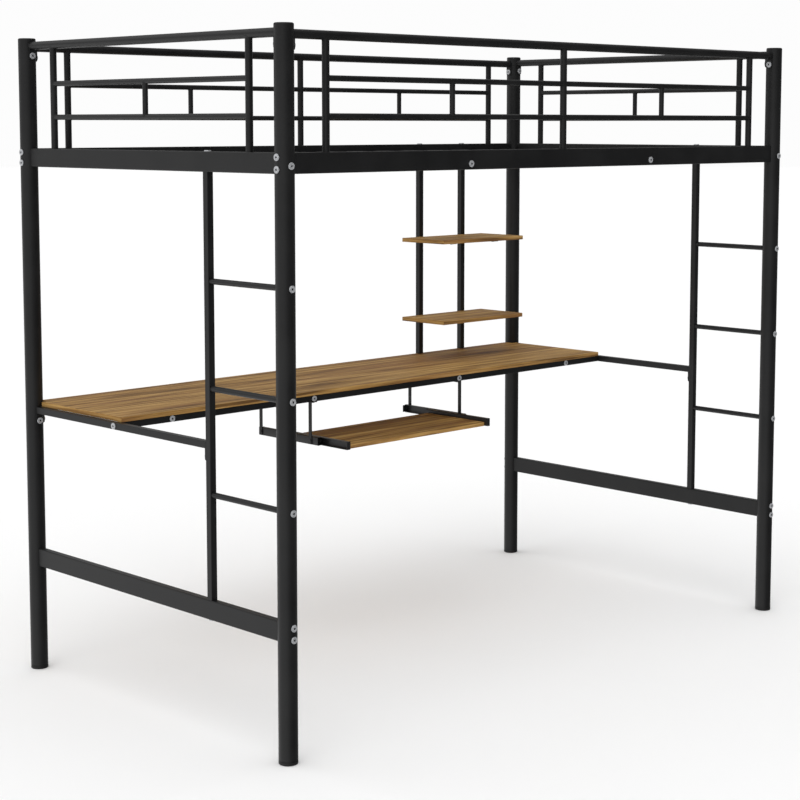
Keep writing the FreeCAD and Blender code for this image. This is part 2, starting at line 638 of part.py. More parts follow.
def desk_screw_seats():
    """Where the screws go up through the cross bars into the desktop."""
    ys = (DESK_BEAM_Y + DESK_SCREW_INSET, POST_Y - DESK_SCREW_INSET)
    return [V(x, y, DESK_UNDER_BARS) for x in DESK_CROSS_X for y in ys]


def desk_screws():
    return [small_screw(seat, Z_DIR, DESK_SCREW_LEN) for seat in desk_screw_seats()]


def small_screw(seat, aim, length):
    """A pan-headed screw: head, shank and the same axis for its hole."""
    head = rod(SCREW_HEAD_R, seat - aim * SCREW_HEAD_T, seat)
    rim = [e for e in head.Edges if e.isClosed() and is_at(e, seat - aim * SCREW_HEAD_T, aim)]
    shank = rod(SCREW_R, seat, seat + aim * length)
    return head.makeFillet(SCREW_HEAD_EDGE, rim).fuse(shank)


def screw_hole(seat, aim, length):
    start = seat - aim * OVERRUN
    return rod(SCREW_R + THREAD_GAP, start, seat + aim * (length + OVERRUN))


def desk_screw_holes():
    return [screw_hole(seat, Z_DIR, DESK_SCREW_LEN) for seat in desk_screw_seats()]


def rear_notch(x_span, front_y):
    """A cut into the desktop's rear edge, from front_y back."""
    depth = (DESK_TOP_OF_BARS - OVERRUN, DESK_TOP + OVERRUN)
    return box(x_span, (front_y, DESK_REAR_Y + OVERRUN), depth)


def make_desktop():
    """The desk board, notched round the rear posts and the shelf uprights."""
    end = POST_X - DESK_END_GAP
    board = box((-end, end), (DESK_FRONT_Y, DESK_REAR_Y), (DESK_TOP_OF_BARS, DESK_TOP))
    post_side, post_front = POST_FACE_X - NOTCH_GAP, POST_FACE_Y - NOTCH_GAP
    notches = [rear_notch((sx * post_side, sx * (end + OVERRUN)), post_front) for sx in (-1, 1)]
    half = HALF_SMALL + UPRIGHT_GAP
    notches = notches + [rear_notch((x - half, x + half), POST_Y - half) for x in SHELF_POST_XS]
    return drill(board, notches + desk_screw_holes())


# ---- shelves ------------------------------------------------------------------------
def make_shelf_upright(x):
    """An upright from the desk's rear beam to the rear bed rail, with an arm under each shelf."""
    low, high = V(x, POST_Y, DESK_TOP_OF_BARS), V(x, POST_Y, BED_RAIL_BOTTOM)
    plugs = [drill(plug, threads(SHELF_BOLTS[x])) for plug in end_plugs(low, high)]
    arms = [shelf_arm(x, top) for top in SHELF_TOPS.values()]
    return [square_tube(low, high)] + plugs + arms


def shelf_arm(x, shelf_top):
    under = shelf_top - BOARD_T
    front = POST_Y - HALF_SMALL
    arm = box((x - ARM_W / 2, x + ARM_W / 2), (front - ARM_LEN, front), (under - ARM_T, under))
    seats = [screw_hole(V(x, y, under - ARM_T), Z_DIR, BOARD_T) for y in shelf_screw_ys()]
    return drill(arm, seats)


def shelf_screw_ys():
    front = POST_Y - HALF_SMALL
    return (front - ARM_LEN + ARM_SCREW_FRONT, front - ARM_SCREW_REAR)


def shelf_screw_seats(top):
    """Where the screws go up through the arms into the shelf with this top."""
    under = top - BOARD_T - ARM_T
    return [V(x, y, under) for x in SHELF_POST_XS for y in shelf_screw_ys()]


def shelf_screws():
    seats = [seat for top in SHELF_TOPS.values() for seat in shelf_screw_seats(top)]
    return [small_screw(seat, Z_DIR, SHELF_SCREW_LEN) for seat in seats]


def make_shelf(top):
    rear = POST_Y - HALF_SMALL
    span = (SHELF_X - SHELF_LEN / 2, SHELF_X + SHELF_LEN / 2)
    board = box(span, (rear - SHELF_DEPTH, rear), (top - BOARD_T, top))
    return drill(board, [screw_hole(seat, Z_DIR, SHELF_SCREW_LEN) for seat in shelf_screw_seats(top)])


# ---- keyboard tray ------------------------------------------------------------------
def hanger_screw_seat(sx, y):
    return V(sx * (HANGER_X - HANGER_FOOT / 2), y, DESK_UNDER_BARS - HANGER_T)


def hanger_screw_holes(y):
    return [screw_hole(hanger_screw_seat(sx, y), Z_DIR, HANGER_SCREW_LEN) for sx in (-1, 1)]


def rivet_seat(sx, y):
    return V(sx * (HANGER_X + HANGER_T), y, (SLIDE_BOTTOM + SLIDE_TOP) / 2)


def make_hanger(sx, y):
    """A bent strap: a foot under the desk bar and a leg down to the fixed channel."""
    out, low_y, high_y = sx * (HANGER_X + HANGER_T), y - HANGER_W / 2, y + HANGER_W / 2
    leg = box((sx * HANGER_X, out), (low_y, high_y), (HANGER_BOTTOM, DESK_UNDER_BARS - HANGER_T))
    foot_x = (sx * (HANGER_X - HANGER_FOOT), out)
    foot = box(foot_x, (low_y, high_y), (DESK_UNDER_BARS - HANGER_T, DESK_UNDER_BARS))
    foot = foot.cut(screw_hole(hanger_screw_seat(sx, y), Z_DIR, HANGER_T))
    rivet = screw_hole(rivet_seat(sx, y), X_DIR * -sx, HANGER_T)
    return [leg.cut(rivet), foot]


def slide_channel(web_out, web_in, flange_to, front, rear, low, high):
    """A C channel in three strips: its web and its two flanges."""
    web = box((web_out, web_in), (front, rear), (low + SLIDE_T, high - SLIDE_T))
    bottom = box((web_out, flange_to), (front, rear), (low, low + SLIDE_T))
    top = box((web_out, flange_to), (front, rear), (high - SLIDE_T, high))
    return [web, bottom, top]


def make_fixed_channel(sx):
    """The outer half of a drawer slide, open inwards, with a roller stub and a rear stop."""
    out, web_in = sx * HANGER_X, sx * (HANGER_X - SLIDE_T)
    flange = sx * (HANGER_X - FIXED_FLANGE)
    ends = (FIXED_FRONT, FIXED_REAR)
    web, bottom, top = slide_channel(out, web_in, flange, *ends, SLIDE_BOTTOM, SLIDE_TOP)
    for y in HANGER_Y:
        web = web.cut(screw_hole(rivet_seat(sx, y), X_DIR * -sx, HANGER_T + SLIDE_T))
    stub_end = V(sx * MOVER_WEB_OUT, FIXED_ROLLER_Y, FIXED_ROLLER_Z)
    stub = rod(AXLE_R, V(web_in, FIXED_ROLLER_Y, FIXED_ROLLER_Z), stub_end)
    inner_z = (SLIDE_BOTTOM + SLIDE_T, SLIDE_TOP - SLIDE_T)
    stop = box((web_in, sx * (MOVER_WEB_OUT + STOP_REACH)), (FIXED_REAR - SLIDE_T, FIXED_REAR), inner_z)
    return [web, bottom, top, stub, stop]


MOVER_WEB_OUT = TRAY_HALF + SLIDE_T
MOVER_LOW, MOVER_HIGH = SLIDE_BOTTOM + MOVER_GAP, SLIDE_TOP - MOVER_GAP
FIXED_ROLLER_Z = MOVER_HIGH - SLIDE_T - ROLLER_GAP - ROLLER_R
MOVER_ROLLER_Z = SLIDE_BOTTOM + SLIDE_T + ROLLER_GAP + ROLLER_R
FIXED_ROLLER_SPAN = (MOVER_WEB_OUT + ROLLER_SIDE_GAP, TRAY_HALF + MOVER_FLANGE - ROLLER_LIP_GAP)
MOVER_ROLLER_SPAN = (HANGER_X - FIXED_FLANGE + ROLLER_SIDE_GAP, HANGER_X - SLIDE_T - ROLLER_SIDE_GAP)


def make_moving_channel(sx):
    """The inner half of a drawer slide: open outwards, closed in front, screwed to the tray."""
    web_in, web_out = sx * TRAY_HALF, sx * MOVER_WEB_OUT
    flange = sx * (TRAY_HALF + MOVER_FLANGE)
    ends = (MOVER_FRONT, MOVER_REAR)
    web, bottom, top = slide_channel(web_in, web_out, flange, *ends, MOVER_LOW, MOVER_HIGH)
    for y in tray_screw_ys():
        web = web.cut(sunk_screw(V(web_out, y, tray_screw_z()), X_DIR * -sx, THREAD_GAP))
    outer = V(sx * MOVER_ROLLER_SPAN[1], MOVER_ROLLER_Y, MOVER_ROLLER_Z)
    stub = rod(AXLE_R, V(web_out, MOVER_ROLLER_Y, MOVER_ROLLER_Z), outer)
    inner_z = (MOVER_LOW + SLIDE_T, MOVER_HIGH - SLIDE_T)
    front = box((web_out, flange), (MOVER_FRONT, MOVER_FRONT + SLIDE_T), inner_z)
    return [web, bottom, top, stub, front]


def make_roller(span, sx, y, z):
    """A plastic roller that turns on its stub."""
    start, end = V(sx * span[0], y, z), V(sx * span[1], y, z)
    wheel = rod(ROLLER_R, start, end)
    wheel = wheel.makeFillet(ROLLER_EDGE, [e for e in wheel.Edges if e.isClosed()])
    return wheel.cut(rod(AXLE_R + THREAD_GAP, start, end))


def tray_screw_ys():
    return (TRAY_FRONT + TRAY_SCREW_INSET, (TRAY_FRONT + TRAY_REAR) / 2, TRAY_REAR - TRAY_SCREW_INSET)


def tray_screw_z():
    return TRAY_Z + TRAY_BOARD_T / 2


def tray_screws(gap):
    """The screws from the moving channels into the tray board, or their holes with a gap."""
    places = [(sx, y) for sx in (-1, 1) for y in tray_screw_ys()]
    return [sunk_screw(V(sx * MOVER_WEB_OUT, y, tray_screw_z()), X_DIR * -sx, gap) for sx, y in places]


def sunk_screw(seat, aim, gap):
    """A countersunk screw, flush with the channel's web so that the rollers pass it."""
    cone = Part.makeCone(SUNK_HEAD_R + gap, SCREW_R + gap, SLIDE_T, seat, aim)
    return cone.fuse(rod(SCREW_R + gap, seat, seat + aim * (TRAY_SCREW_LEN + gap)))


def make_tray_board():
    board = box((-TRAY_HALF, TRAY_HALF), (TRAY_FRONT, TRAY_REAR), (TRAY_Z, TRAY_Z + TRAY_BOARD_T))
    return drill(board, tray_screws(THREAD_GAP))


def hanger_screws():
    seats = [hanger_screw_seat(sx, y) for sx in (-1, 1) for y in HANGER_Y]
    return [small_screw(seat, Z_DIR, HANGER_SCREW_LEN) for seat in seats]


def channel_rivets():
    seats = [(sx, rivet_seat(sx, y)) for sx in (-1, 1) for y in HANGER_Y]
    return [small_screw(seat, X_DIR * -sx, HANGER_T + SLIDE_T) for sx, seat in seats]


# ---- write every node ---------------------------------------------------------------
for row, sy in ROWS.items():
    for side, sx in SIDES.items():
        write(f"post_{row}_{side}", make_post(sx, sy))
write("post_top_caps", *[make_top_cap(*c) for c in CORNERS])
write("post_foot_caps", *[make_foot_cap(*c) for c in CORNERS])

for row, sy in ROWS.items():
    write(f"side_rail_{row}", *make_side_rail(sy))
    write(f"guard_{row}", *make_side_guard(sy))
for side, sx in SIDES.items():
    write(f"upper_end_rail_{side}", *make_upper_end_rail(sx))
    write(f"lower_end_rail_{side}", *make_lower_end_rail(sx))
    write(f"guard_{side}", *make_end_guard(sx))
    write(f"ladder_upright_{side}", *make_ladder_upright(sx))
    for step, bolt in enumerate(RUNG_BOLTS[sx], start=1):
        write(f"rung_{side}_{step}", *make_rung(sx, bolt))
    write(f"cross_support_{side}", *make_cross_support(sx))
    write(f"desk_end_rail_{side}", *make_desk_end_rail(sx))
for bay, places in zip(("left", "middle", "right"), slat_positions()):
    write(f"slats_{bay}", *[make_slat(x) for x in places])

write("desk_front_beam", *make_desk_front_beam())
write("desk_rear_beam", *make_desk_rear_beam())
for number, x in enumerate(DESK_CROSS_X, start=1):
    write(f"desk_cross_bar_{number}", *make_desk_cross_bar(x))
write("desktop", make_desktop())
for side, x in zip(("left", "right"), SHELF_POST_XS):
    write(f"shelf_upright_{side}", *make_shelf_upright(x))
for level, top in SHELF_TOPS.items():
    write(f"shelf_{level}", make_shelf(top))

write("tray_board", make_tray_board())
for side, sx in SIDES.items():
    write(f"tray_hangers_{side}", *[s for y in HANGER_Y for s in make_hanger(sx, y)])
    write(f"fixed_channel_{side}", *make_fixed_channel(sx))
    write(f"moving_channel_{side}", *make_moving_channel(sx))
    write(f"front_roller_{side}", make_roller(FIXED_ROLLER_SPAN, sx, FIXED_ROLLER_Y, FIXED_ROLLER_Z))
    write(f"rear_roller_{side}", make_roller(MOVER_ROLLER_SPAN, sx, MOVER_ROLLER_Y, MOVER_ROLLER_Z))

rail_bolts = [SIDE_RAIL_BOLTS[c] + END_RAIL_BOLTS[c] + LOW_RAIL_BOLTS[c] for c in CORNERS]
frame_bolts = [bolt for corner in rail_bolts for bolt in corner] + [CROSS_BOLTS[c] for c in CORNERS]
write("bed_frame_bolts", *solids_of(frame_bolts))
guard_bolts = [group[c] for group in (GUARD_SIDE_BOLTS, GUARD_END_BOLTS) for c in CORNERS]
write("guard_bolts", *solids_of(guard_bolts))
write("guard_locating_pins", *[guard_pin(x, y) for x, y in GUARD_PINS])
ladder_bolts = [b for sx in (-1, 1) for b in RUNG_BOLTS[sx] + LADDER_BOLTS[sx]]
upright_bolts = ladder_bolts + [b for x in SHELF_POST_XS for b in SHELF_BOLTS[x]]
write("upright_and_rung_bolts", *solids_of(upright_bolts))
desk_groups = (DESK_REAR_TAB_BOLTS, DESK_END_TAB_BOLTS, LADDER_TAB_BOLTS, BEAM_END_BOLTS)
desk_bolts = [group[sx] for group in desk_groups for sx in (-1, 1)]
desk_bolts = desk_bolts + [b for x in DESK_CROSS_X for b in DESK_CROSS_BOLTS[x]]
write("desk_bolts", *solids_of(desk_bolts))
write("board_and_hanger_screws", *desk_screws(), *shelf_screws(), *hanger_screws(), *channel_rivets())
write("tray_board_screws", *tray_screws(0.0))
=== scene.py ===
"""A loft bed with a desk, shelves and a keyboard tray under it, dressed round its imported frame.

The steel tubes, pins, screws and rollers are the frame's own nodes in new finishes. The boards, post
caps, bolts, drawer slides and weld beads are modelled here with Blender's operators. Sizes are in
metres.
"""

import logging
import math
from dataclasses import dataclass
from enum import Enum
from typing import Callable, Iterable, Mapping, Sequence

import bpy
from mathutils import Matrix, Vector


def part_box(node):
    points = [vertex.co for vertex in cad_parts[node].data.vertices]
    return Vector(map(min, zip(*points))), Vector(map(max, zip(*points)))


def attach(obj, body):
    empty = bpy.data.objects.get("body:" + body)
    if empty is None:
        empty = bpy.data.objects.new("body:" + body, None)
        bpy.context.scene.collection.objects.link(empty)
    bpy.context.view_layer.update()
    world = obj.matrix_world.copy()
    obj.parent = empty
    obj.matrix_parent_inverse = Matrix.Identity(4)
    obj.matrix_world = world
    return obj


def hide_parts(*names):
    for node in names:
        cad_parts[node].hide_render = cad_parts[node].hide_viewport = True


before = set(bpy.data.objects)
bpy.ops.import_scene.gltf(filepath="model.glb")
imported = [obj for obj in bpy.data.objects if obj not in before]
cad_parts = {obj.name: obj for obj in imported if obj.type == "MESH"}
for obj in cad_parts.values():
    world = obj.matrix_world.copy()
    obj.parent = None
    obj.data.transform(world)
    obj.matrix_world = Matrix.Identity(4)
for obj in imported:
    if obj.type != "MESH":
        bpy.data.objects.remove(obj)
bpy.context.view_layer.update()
LOG = logging.getLogger("loft_bed")
Pair = tuple[float, float]
Triple = tuple[float, float, float]
Colour = Triple
Test = Callable[[Vector, Vector], bool]

# Two places this close count as one, and a normal this much along an axis counts as along it.
NEAR = 1e-5
SQUARE = 0.99

# Most of a noise's values lie in this span.
NOISE_SPAN: Pair = (0.3, 0.7)


# ---- shader maths ---------------------------------------------------------------------
@dataclass(frozen=True)
class Cloud:
    """Cloudy noise: how many clouds to a metre, how many finer layers and how far it is twisted."""

    scale: float
    detail: float = 2.0
    twist: float = 0.0


@dataclass(frozen=True)
class Streaks:
    """Noise in long streaks: its scales along and across the grain, its finer layers and its twist."""

    along: float
    across: float
    detail: float
    twist: float = 0.0


class Wire:
    """One output socket, which takes part in plain arithmetic."""

    def __init__(self, graph: "Graph", socket: bpy.types.NodeSocket) -> None:
        """Keeps the socket and the graph that it belongs to."""
        self.graph = graph
        self.socket = socket

    def _math(self, operation: str, one: "Wire | float", two: "Wire | float") -> "Wire":
        """Adds one Math node for an operation on two values."""
        return self.graph.node("ShaderNodeMath", {"operation": operation}, {0: one, 1: two})

    def __add__(self, other: "Wire | float") -> "Wire":
        """This value plus another."""
        return self._math("ADD", self, other)

    def __sub__(self, other: "Wire | float") -> "Wire":
        """This value less another."""
        return self._math("SUBTRACT", self, other)

    def __mul__(self, other: "Wire | float") -> "Wire":
        """This value times another."""
        return self._math("MULTIPLY", self, other)


class Graph:
    """A node tree that is filled through one method."""

    def __init__(self, tree: bpy.types.NodeTree) -> None:
        """Empties the tree."""
        self.tree = tree
        tree.nodes.clear()

    def node(
        self,
        kind: str,
        settings: Mapping[str, object] | None = None,
        inputs: Mapping[int | str, object] | None = None,
        output: int | str = 0,
    ) -> Wire:
        """Adds a node.

        Args:
            kind: The node's type.
            settings: Properties set before anything else; "stops" fills a colour ramp.
            inputs: Values or wires, by socket name or number.
            output: The output socket wanted.

        Returns:
            The wanted output.
        """
        made = self.tree.nodes.new(kind)
        for key, value in (settings or {}).items():
            if key == "stops":
                self._fill_ramp(made.color_ramp, value)
            else:
                setattr(made, key, value)
        for key, value in (inputs or {}).items():
            if isinstance(value, Wire):
                self.tree.links.new(value.socket, made.inputs[key])
            else:
                made.inputs[key].default_value = value
        return Wire(self, made.outputs[output] if made.outputs else None)

    @staticmethod
    def _fill_ramp(ramp: bpy.types.ColorRamp, stops: Sequence[tuple[float, Colour]]) -> None:
        """Gives a colour ramp its stops.

        Args:
            ramp: The ramp, which comes with two stops.
            stops: Each stop's place from 0 to 1 and its colour.
        """
        while len(ramp.elements) < len(stops):
            ramp.elements.new(1.0)
        for element, (place, colour) in zip(ramp.elements, stops):
            element.position = place
            element.color = (*colour, 1.0)

    def mix(self, share: Wire, low: "Wire | Colour", high: "Wire | Colour") -> Wire:
        """Blends two colours by a share from 0 to 1.

        The Mix node keeps its colours on inputs 6 and 7, and gives the blend on output 2.

        Args:
            share: How much of the high colour there is.
            low: The colour at 0.
            high: The colour at 1.

        Returns:
            The blend.
        """
        low = low if isinstance(low, Wire) else (*low, 1.0)
        high = high if isinstance(high, Wire) else (*high, 1.0)
        return self.node("ShaderNodeMix", {"data_type": "RGBA"}, {0: share, 6: low, 7: high}, 2)

    def place(self, stretch: Triple = (1.0, 1.0, 1.0)) -> Wire:
        """Object coordinates, stretched."""
        spot = self.node("ShaderNodeTexCoord", output="Object")
        return self.node("ShaderNodeMapping", None, {"Vector": spot, "Scale": stretch})

    def noise(self, where: Wire, cloud: Cloud) -> Wire:
        """Adds cloudy noise.

        Args:
            where: The place that it is read at.
            cloud: What it is like.

        Returns:
            The noise, about 0.5 on average.
        """
        inputs = {"Vector": where, "Scale": cloud.scale, "Detail": cloud.detail, "Distortion": cloud.twist}
        return self.node("ShaderNodeTexNoise", None, inputs, "Fac")

    def ease(self, value: Wire, span: Pair, onto: Pair = (0.0, 1.0)) -> Wire:
        """Maps a span of values smoothly onto another.

        Args:
            value: What is mapped.
            span: The values that give the two ends.
            onto: The two ends.

        Returns:
            The mapped value.
        """
        ends = dict(zip(("From Min", "From Max", "To Min", "To Max"), span + onto))
        return self.node("ShaderNodeMapRange", {"interpolation_type": "SMOOTHSTEP"}, {"Value": value} | ends)

    def bump(self, height: Wire, depth: float, strength: float) -> Wire:
        """A bumped normal from a height pattern that is depth metres deep."""
        return self.node("ShaderNodeBump", None, {"Height": height, "Distance": depth, "Strength": strength})

    def surface(self, sockets: Mapping[str, object]) -> None:
        """Ends the tree in a Principled surface."""
        skin = self.node("ShaderNodeBsdfPrincipled", None, sockets)
        self.node("ShaderNodeOutputMaterial", None, {"Surface": skin})


def blend(one: Wire, two: Wire, share: float) -> Wire:
    """Adds two patterns, the second with a share from 0 to 1 and the first with the rest."""
    return one * (1.0 - share) + two * share


def new_graph(name: str) -> tuple[bpy.types.Material, Graph]:
    """Makes an empty material.

    Args:
        name: The material's name.

    Returns:
        The material and the graph of its nodes.
    """
    material = bpy.data.materials.new(name)
    material.use_nodes = True
    return material, Graph(material.node_tree)


# ---- finishes -------------------------------------------------------------------------
class Grain(Enum):
    """The way that a board's grain runs."""

    ALONG = "along"
    ACROSS = "across"

    def stretch(self, lengthwise: float, crosswise: float) -> Triple:
        """Turns a pattern's scales to the grain.

        Args:
            lengthwise: The scale along the grain.
            crosswise: The scale across it.

        Returns:
            The scale on each axis.
        """
        if self is Grain.ALONG:
            return (lengthwise, crosswise, crosswise)
        return (crosswise, lengthwise, crosswise)


@dataclass(frozen=True)
class PowderCoat:
    """Black semi-matt powder coat on steel tube."""

    dark: Colour = (0.0050, 0.0051, 0.0055)
    light: Colour = (0.0092, 0.0093, 0.0097)
    patches: Cloud = Cloud(9.0, 4.0)
    specks: Cloud = Cloud(260.0, 3.0)
    speck_share: float = 0.3
    sheen_speck_share: float = 0.5
    tone_span: Pair = (0.34, 0.66)
    dust: Colour = (0.030, 0.029, 0.027)
    dust_share: float = 0.22
    dust_slopes: Pair = (0.55, 0.98)
    dust_span: Pair = (0.35, 0.75)
    peel: Cloud = Cloud(1400.0)
    fine_peel: Cloud = Cloud(4340.0, 1.0)
    fine_peel_share: float = 0.25
    peel_depth: float = 0.00006
    peel_strength: float = 0.5
    roughness: Pair = (0.36, 0.46)
    gloss_level: float = 0.42

    def make(self) -> bpy.types.Material:
        """Builds the material.

        Returns:
            A material with orange peel, uneven sheen and a trace of dust on upward faces.
        """
        material, graph = new_graph("powder_coat")
        even = graph.place()
        patches = graph.noise(even, self.patches)
        specks = graph.noise(even, self.specks)
        peel = blend(graph.noise(even, self.peel), graph.noise(even, self.fine_peel), self.fine_peel_share)
        normal = graph.node("ShaderNodeNewGeometry", output="Normal")
        upward = graph.node("ShaderNodeSeparateXYZ", None, {0: normal}, "Z")
        settled = graph.ease(upward, self.dust_slopes) * graph.ease(patches, self.dust_span) * self.dust_share
        tone = graph.ease(blend(patches, specks, self.speck_share), self.tone_span)
        coat = graph.mix(tone, self.dark, self.light)
        sheen = blend(patches, specks, self.sheen_speck_share)
        graph.surface(
            {
                "Base Color": graph.mix(settled, coat, self.dust),
                "Roughness": graph.ease(sheen, NOISE_SPAN, self.roughness),
                "Specular IOR Level": self.gloss_level,
                "Normal": graph.bump(peel, self.peel_depth, self.peel_strength),
            }
        )
        return material


@dataclass(frozen=True)
class WoodLaminate:
    """Brown laminate printed with long, streaky grain."""

    deep: Colour = (0.100, 0.048, 0.016)
    brown: Colour = (0.200, 0.104, 0.030)
    golden: Colour = (0.345, 0.190, 0.055)
    pale: Colour = (0.500, 0.305, 0.104)
    tone_places: tuple[float, ...] = (0.385, 0.44, 0.51, 0.59)
    staves: Streaks = Streaks(0.75, 12.0, 2.0, 0.4)
    bands: Streaks = Streaks(2.4, 82.0, 3.0, 0.6)
    fibres: Streaks = Streaks(6.0, 240.0, 5.0, 0.3)
    shares: Triple = (0.20, 0.52, 0.28)
    red: Colour = (0.215, 0.088, 0.034)
    veil: Streaks = Streaks(1.5, 37.0, 2.0)
    veil_span: Pair = (0.50, 0.70)
    veil_share: float = 0.5
    pore: Colour = (0.055, 0.026, 0.010)
    pores: Streaks = Streaks(32.0, 950.0, 2.0)
    pore_span: Pair = (0.56, 0.70)
    pore_fibres: Pair = (0.35, 0.6)
    pore_levels: Pair = (0.9, 0.3)
    pore_share: float = 0.55
    fibre_relief: float = 0.6
    pore_relief: float = 0.4
    relief_depth: float = 0.00012
    relief_strength: float = 0.35
    roughness: Pair = (0.52, 0.66)
    gloss_level: float = 0.12
    grain: Grain = Grain.ALONG

    def make(self) -> bpy.types.Material:
        """Builds the material.

        Returns:
            A material whose grain runs the way that this finish names.
        """
        material, graph = new_graph(f"wood_laminate_{self.grain.value}")

        def drawn(streaks: Streaks) -> Wire:
            """A pattern drawn out along the grain."""
            where = graph.place(self.grain.stretch(streaks.along, streaks.across))
            return graph.noise(where, Cloud(1.0, streaks.detail, streaks.twist))

        bands, fibres = drawn(self.bands), drawn(self.fibres)
        stave_share, band_share, fibre_share = self.shares
        tone = drawn(self.staves) * stave_share + bands * band_share + fibres * fibre_share
        stops = tuple(zip(self.tone_places, (self.deep, self.brown, self.golden, self.pale)))
        wood = graph.node("ShaderNodeValToRGB", {"stops": stops}, {"Fac": tone})
        reddish = graph.ease(drawn(self.veil), self.veil_span) * self.veil_share
        wood = graph.mix(reddish, wood, self.red)
        pitted = graph.ease(drawn(self.pores), self.pore_span)
        pitted = pitted * graph.ease(fibres, self.pore_fibres, self.pore_levels)
        relief = fibres * self.fibre_relief - pitted * self.pore_relief
        graph.surface(
            {
                "Base Color": graph.mix(pitted * self.pore_share, wood, self.pore),
                "Roughness": graph.ease(fibres, NOISE_SPAN, self.roughness),
                "Specular IOR Level": self.gloss_level,
                "Normal": graph.bump(relief, self.relief_depth, self.relief_strength),
            }
        )
        return material


@dataclass(frozen=True)
class ZincPlate:
    """Zinc on the bolts, cloudy and a little dulled."""

    bright: Colour = (0.66, 0.67, 0.69)
    dull: Colour = (0.40, 0.41, 0.43)
    patches: Cloud = Cloud(420.0, 3.0)
    tone_span: Pair = (0.35, 0.65)
    marks: Cloud = Cloud(2600.0)
    mark_share: float = 0.5
    mark_depth: float = 0.00002
    mark_strength: float = 0.5
    metal_share: float = 0.55
    roughness: Pair = (0.30, 0.48)
    name: str = "zinc_plate"

    def make(self) -> bpy.types.Material:
        """Builds the material.

        Returns:
            A cloudy plated metal with faint turning marks.
        """
        material, graph = new_graph(self.name)
        even = graph.place()
        patches = graph.noise(even, self.patches)
        marks = graph.noise(even, self.marks)
        sheen = blend(patches, marks, self.mark_share)
        graph.surface(
            {
                "Base Color": graph.mix(graph.ease(patches, self.tone_span), self.dull, self.bright),
                "Metallic": self.metal_share,
                "Roughness": graph.ease(sheen, NOISE_SPAN, self.roughness),
                "Normal": graph.bump(marks, self.mark_depth, self.mark_strength),
            }
        )
        return material


@dataclass(frozen=True)
class MouldedPlastic:
    """Black moulded plastic with a fine spark-eroded texture."""

    black: Colour = (0.0085, 0.0085, 0.0090)
    scuffed: Colour = (0.022, 0.022, 0.023)
    patches: Cloud = Cloud(70.0, 4.0)
    scuff_span: Pair = (0.52, 0.8)
    scuff_share: float = 0.5
    grit: Cloud = Cloud(2100.0, 3.0)
    grit_depth: float = 0.00005
    grit_strength: float = 0.6
    roughness: Pair = (0.48, 0.62)
    gloss_level: float = 0.4

    def make(self) -> bpy.types.Material:
        """Builds the material.

        Returns:
            A matt plastic, a little scuffed in patches.
        """
        material, graph = new_graph("moulded_plastic")
        even = graph.place()
        grit = graph.noise(even, self.grit)
        patches = graph.noise(even, self.patches)
        scuffs = graph.ease(patches, self.scuff_span) * self.scuff_share
        graph.surface(
            {
                "Base Color": graph.mix(scuffs, self.black, self.scuffed),
                "Roughness": graph.ease(patches, NOISE_SPAN, self.roughness),
                "Specular IOR Level": self.gloss_level,
                "Normal": graph.bump(grit, self.grit_depth, self.grit_strength),
            }
        )
        return material


@dataclass(frozen=True)
class SlideCoat:
    """Thin black coat on the drawer slides and small screws, rubbed brighter in streaks."""

    black: Colour = (0.010, 0.010, 0.011)
    rubbed: Colour = (0.085, 0.085, 0.088)
    rub_share: float = 0.6
    metal_share: float = 0.5
    rub_span: Pair = (0.58, 0.8)
    streak_scales: Triple = (700.0, 9.0, 700.0)
    streaks: Cloud = Cloud(1.0, 4.0)
    streak_depth: float = 0.00003
    streak_strength: float = 0.4
    roughness: Pair = (0.40, 0.30)

    def make(self) -> bpy.types.Material:
        """Builds the material.

        Returns:
            A coat with rubbing marks along the slide's travel.
        """
        material, graph = new_graph("slide_coat")
        streaks = graph.noise(graph.place(self.streak_scales), self.streaks)
        worn = graph.ease(streaks, self.rub_span)
        graph.surface(
            {
                "Base Color": graph.mix(worn * self.rub_share, self.black, self.rubbed),
                "Metallic": worn * self.metal_share,
                "Roughness": graph.ease(streaks, NOISE_SPAN, self.roughness),
                "Normal": graph.bump(streaks, self.streak_depth, self.streak_strength),
            }
        )
        return material


@dataclass(frozen=True)
class StudioFloor:
    """Pale plain floor."""

    pale: Colour = (0.91, 0.91, 0.91)
    shade: Colour = (0.89, 0.89, 0.89)
    patches: Cloud = Cloud(0.6)
    roughness: float = 0.9
    gloss_level: float = 0.1

    def make(self) -> bpy.types.Material:
        """Builds the material.

        Returns:
            A pale material with the faintest unevenness.
        """
        material, graph = new_graph("studio_floor")
        graph.surface(
            {
                "Base Color": graph.mix(graph.noise(graph.place(), self.patches), self.pale, self.shade),
                "Roughness": self.roughness,
                "Specular IOR Level": self.gloss_level,
            }
        )
        return material


@dataclass(frozen=True)
class Finishes:
    """Every finish of the bed, each built once."""

    coat: bpy.types.Material
    wood: bpy.types.Material
    wood_ends: bpy.types.Material
    zinc: bpy.types.Material
    # Painted shade: a darker copy of the zinc for the insides of the bolts' key sockets.
    socket: bpy.types.Material
    plastic: bpy.types.Material
    slide: bpy.types.Material

    @classmethod
    def make(cls) -> "Finishes":
        """Builds all the materials of the bed.

        Returns:
            The finishes.
        """
        # The same zinc, darkened: painted shade for the walls and floors of the key sockets.
        painted_socket_shade = ZincPlate(bright=(0.055, 0.055, 0.058), dull=(0.02, 0.02, 0.021), name="zinc_painted_socket_shade")
        return cls(
            coat=PowderCoat().make(),
            wood=WoodLaminate().make(),
            wood_ends=WoodLaminate(grain=Grain.ACROSS).make(),
            zinc=ZincPlate().make(),
            socket=painted_socket_shade.make(),
            plastic=MouldedPlastic().make(),
            slide=SlideCoat().make(),
        )


# ---- workbench ------------------------------------------------------------------------
class Kind(Enum):
    """What is picked on a mesh in edit mode."""

    EDGE = "EDGE"
    FACE = "FACE"


@dataclass(frozen=True)
class Rounding:
    """How an edge is rounded: how wide, and in how many steps."""

    width: float
    steps: int


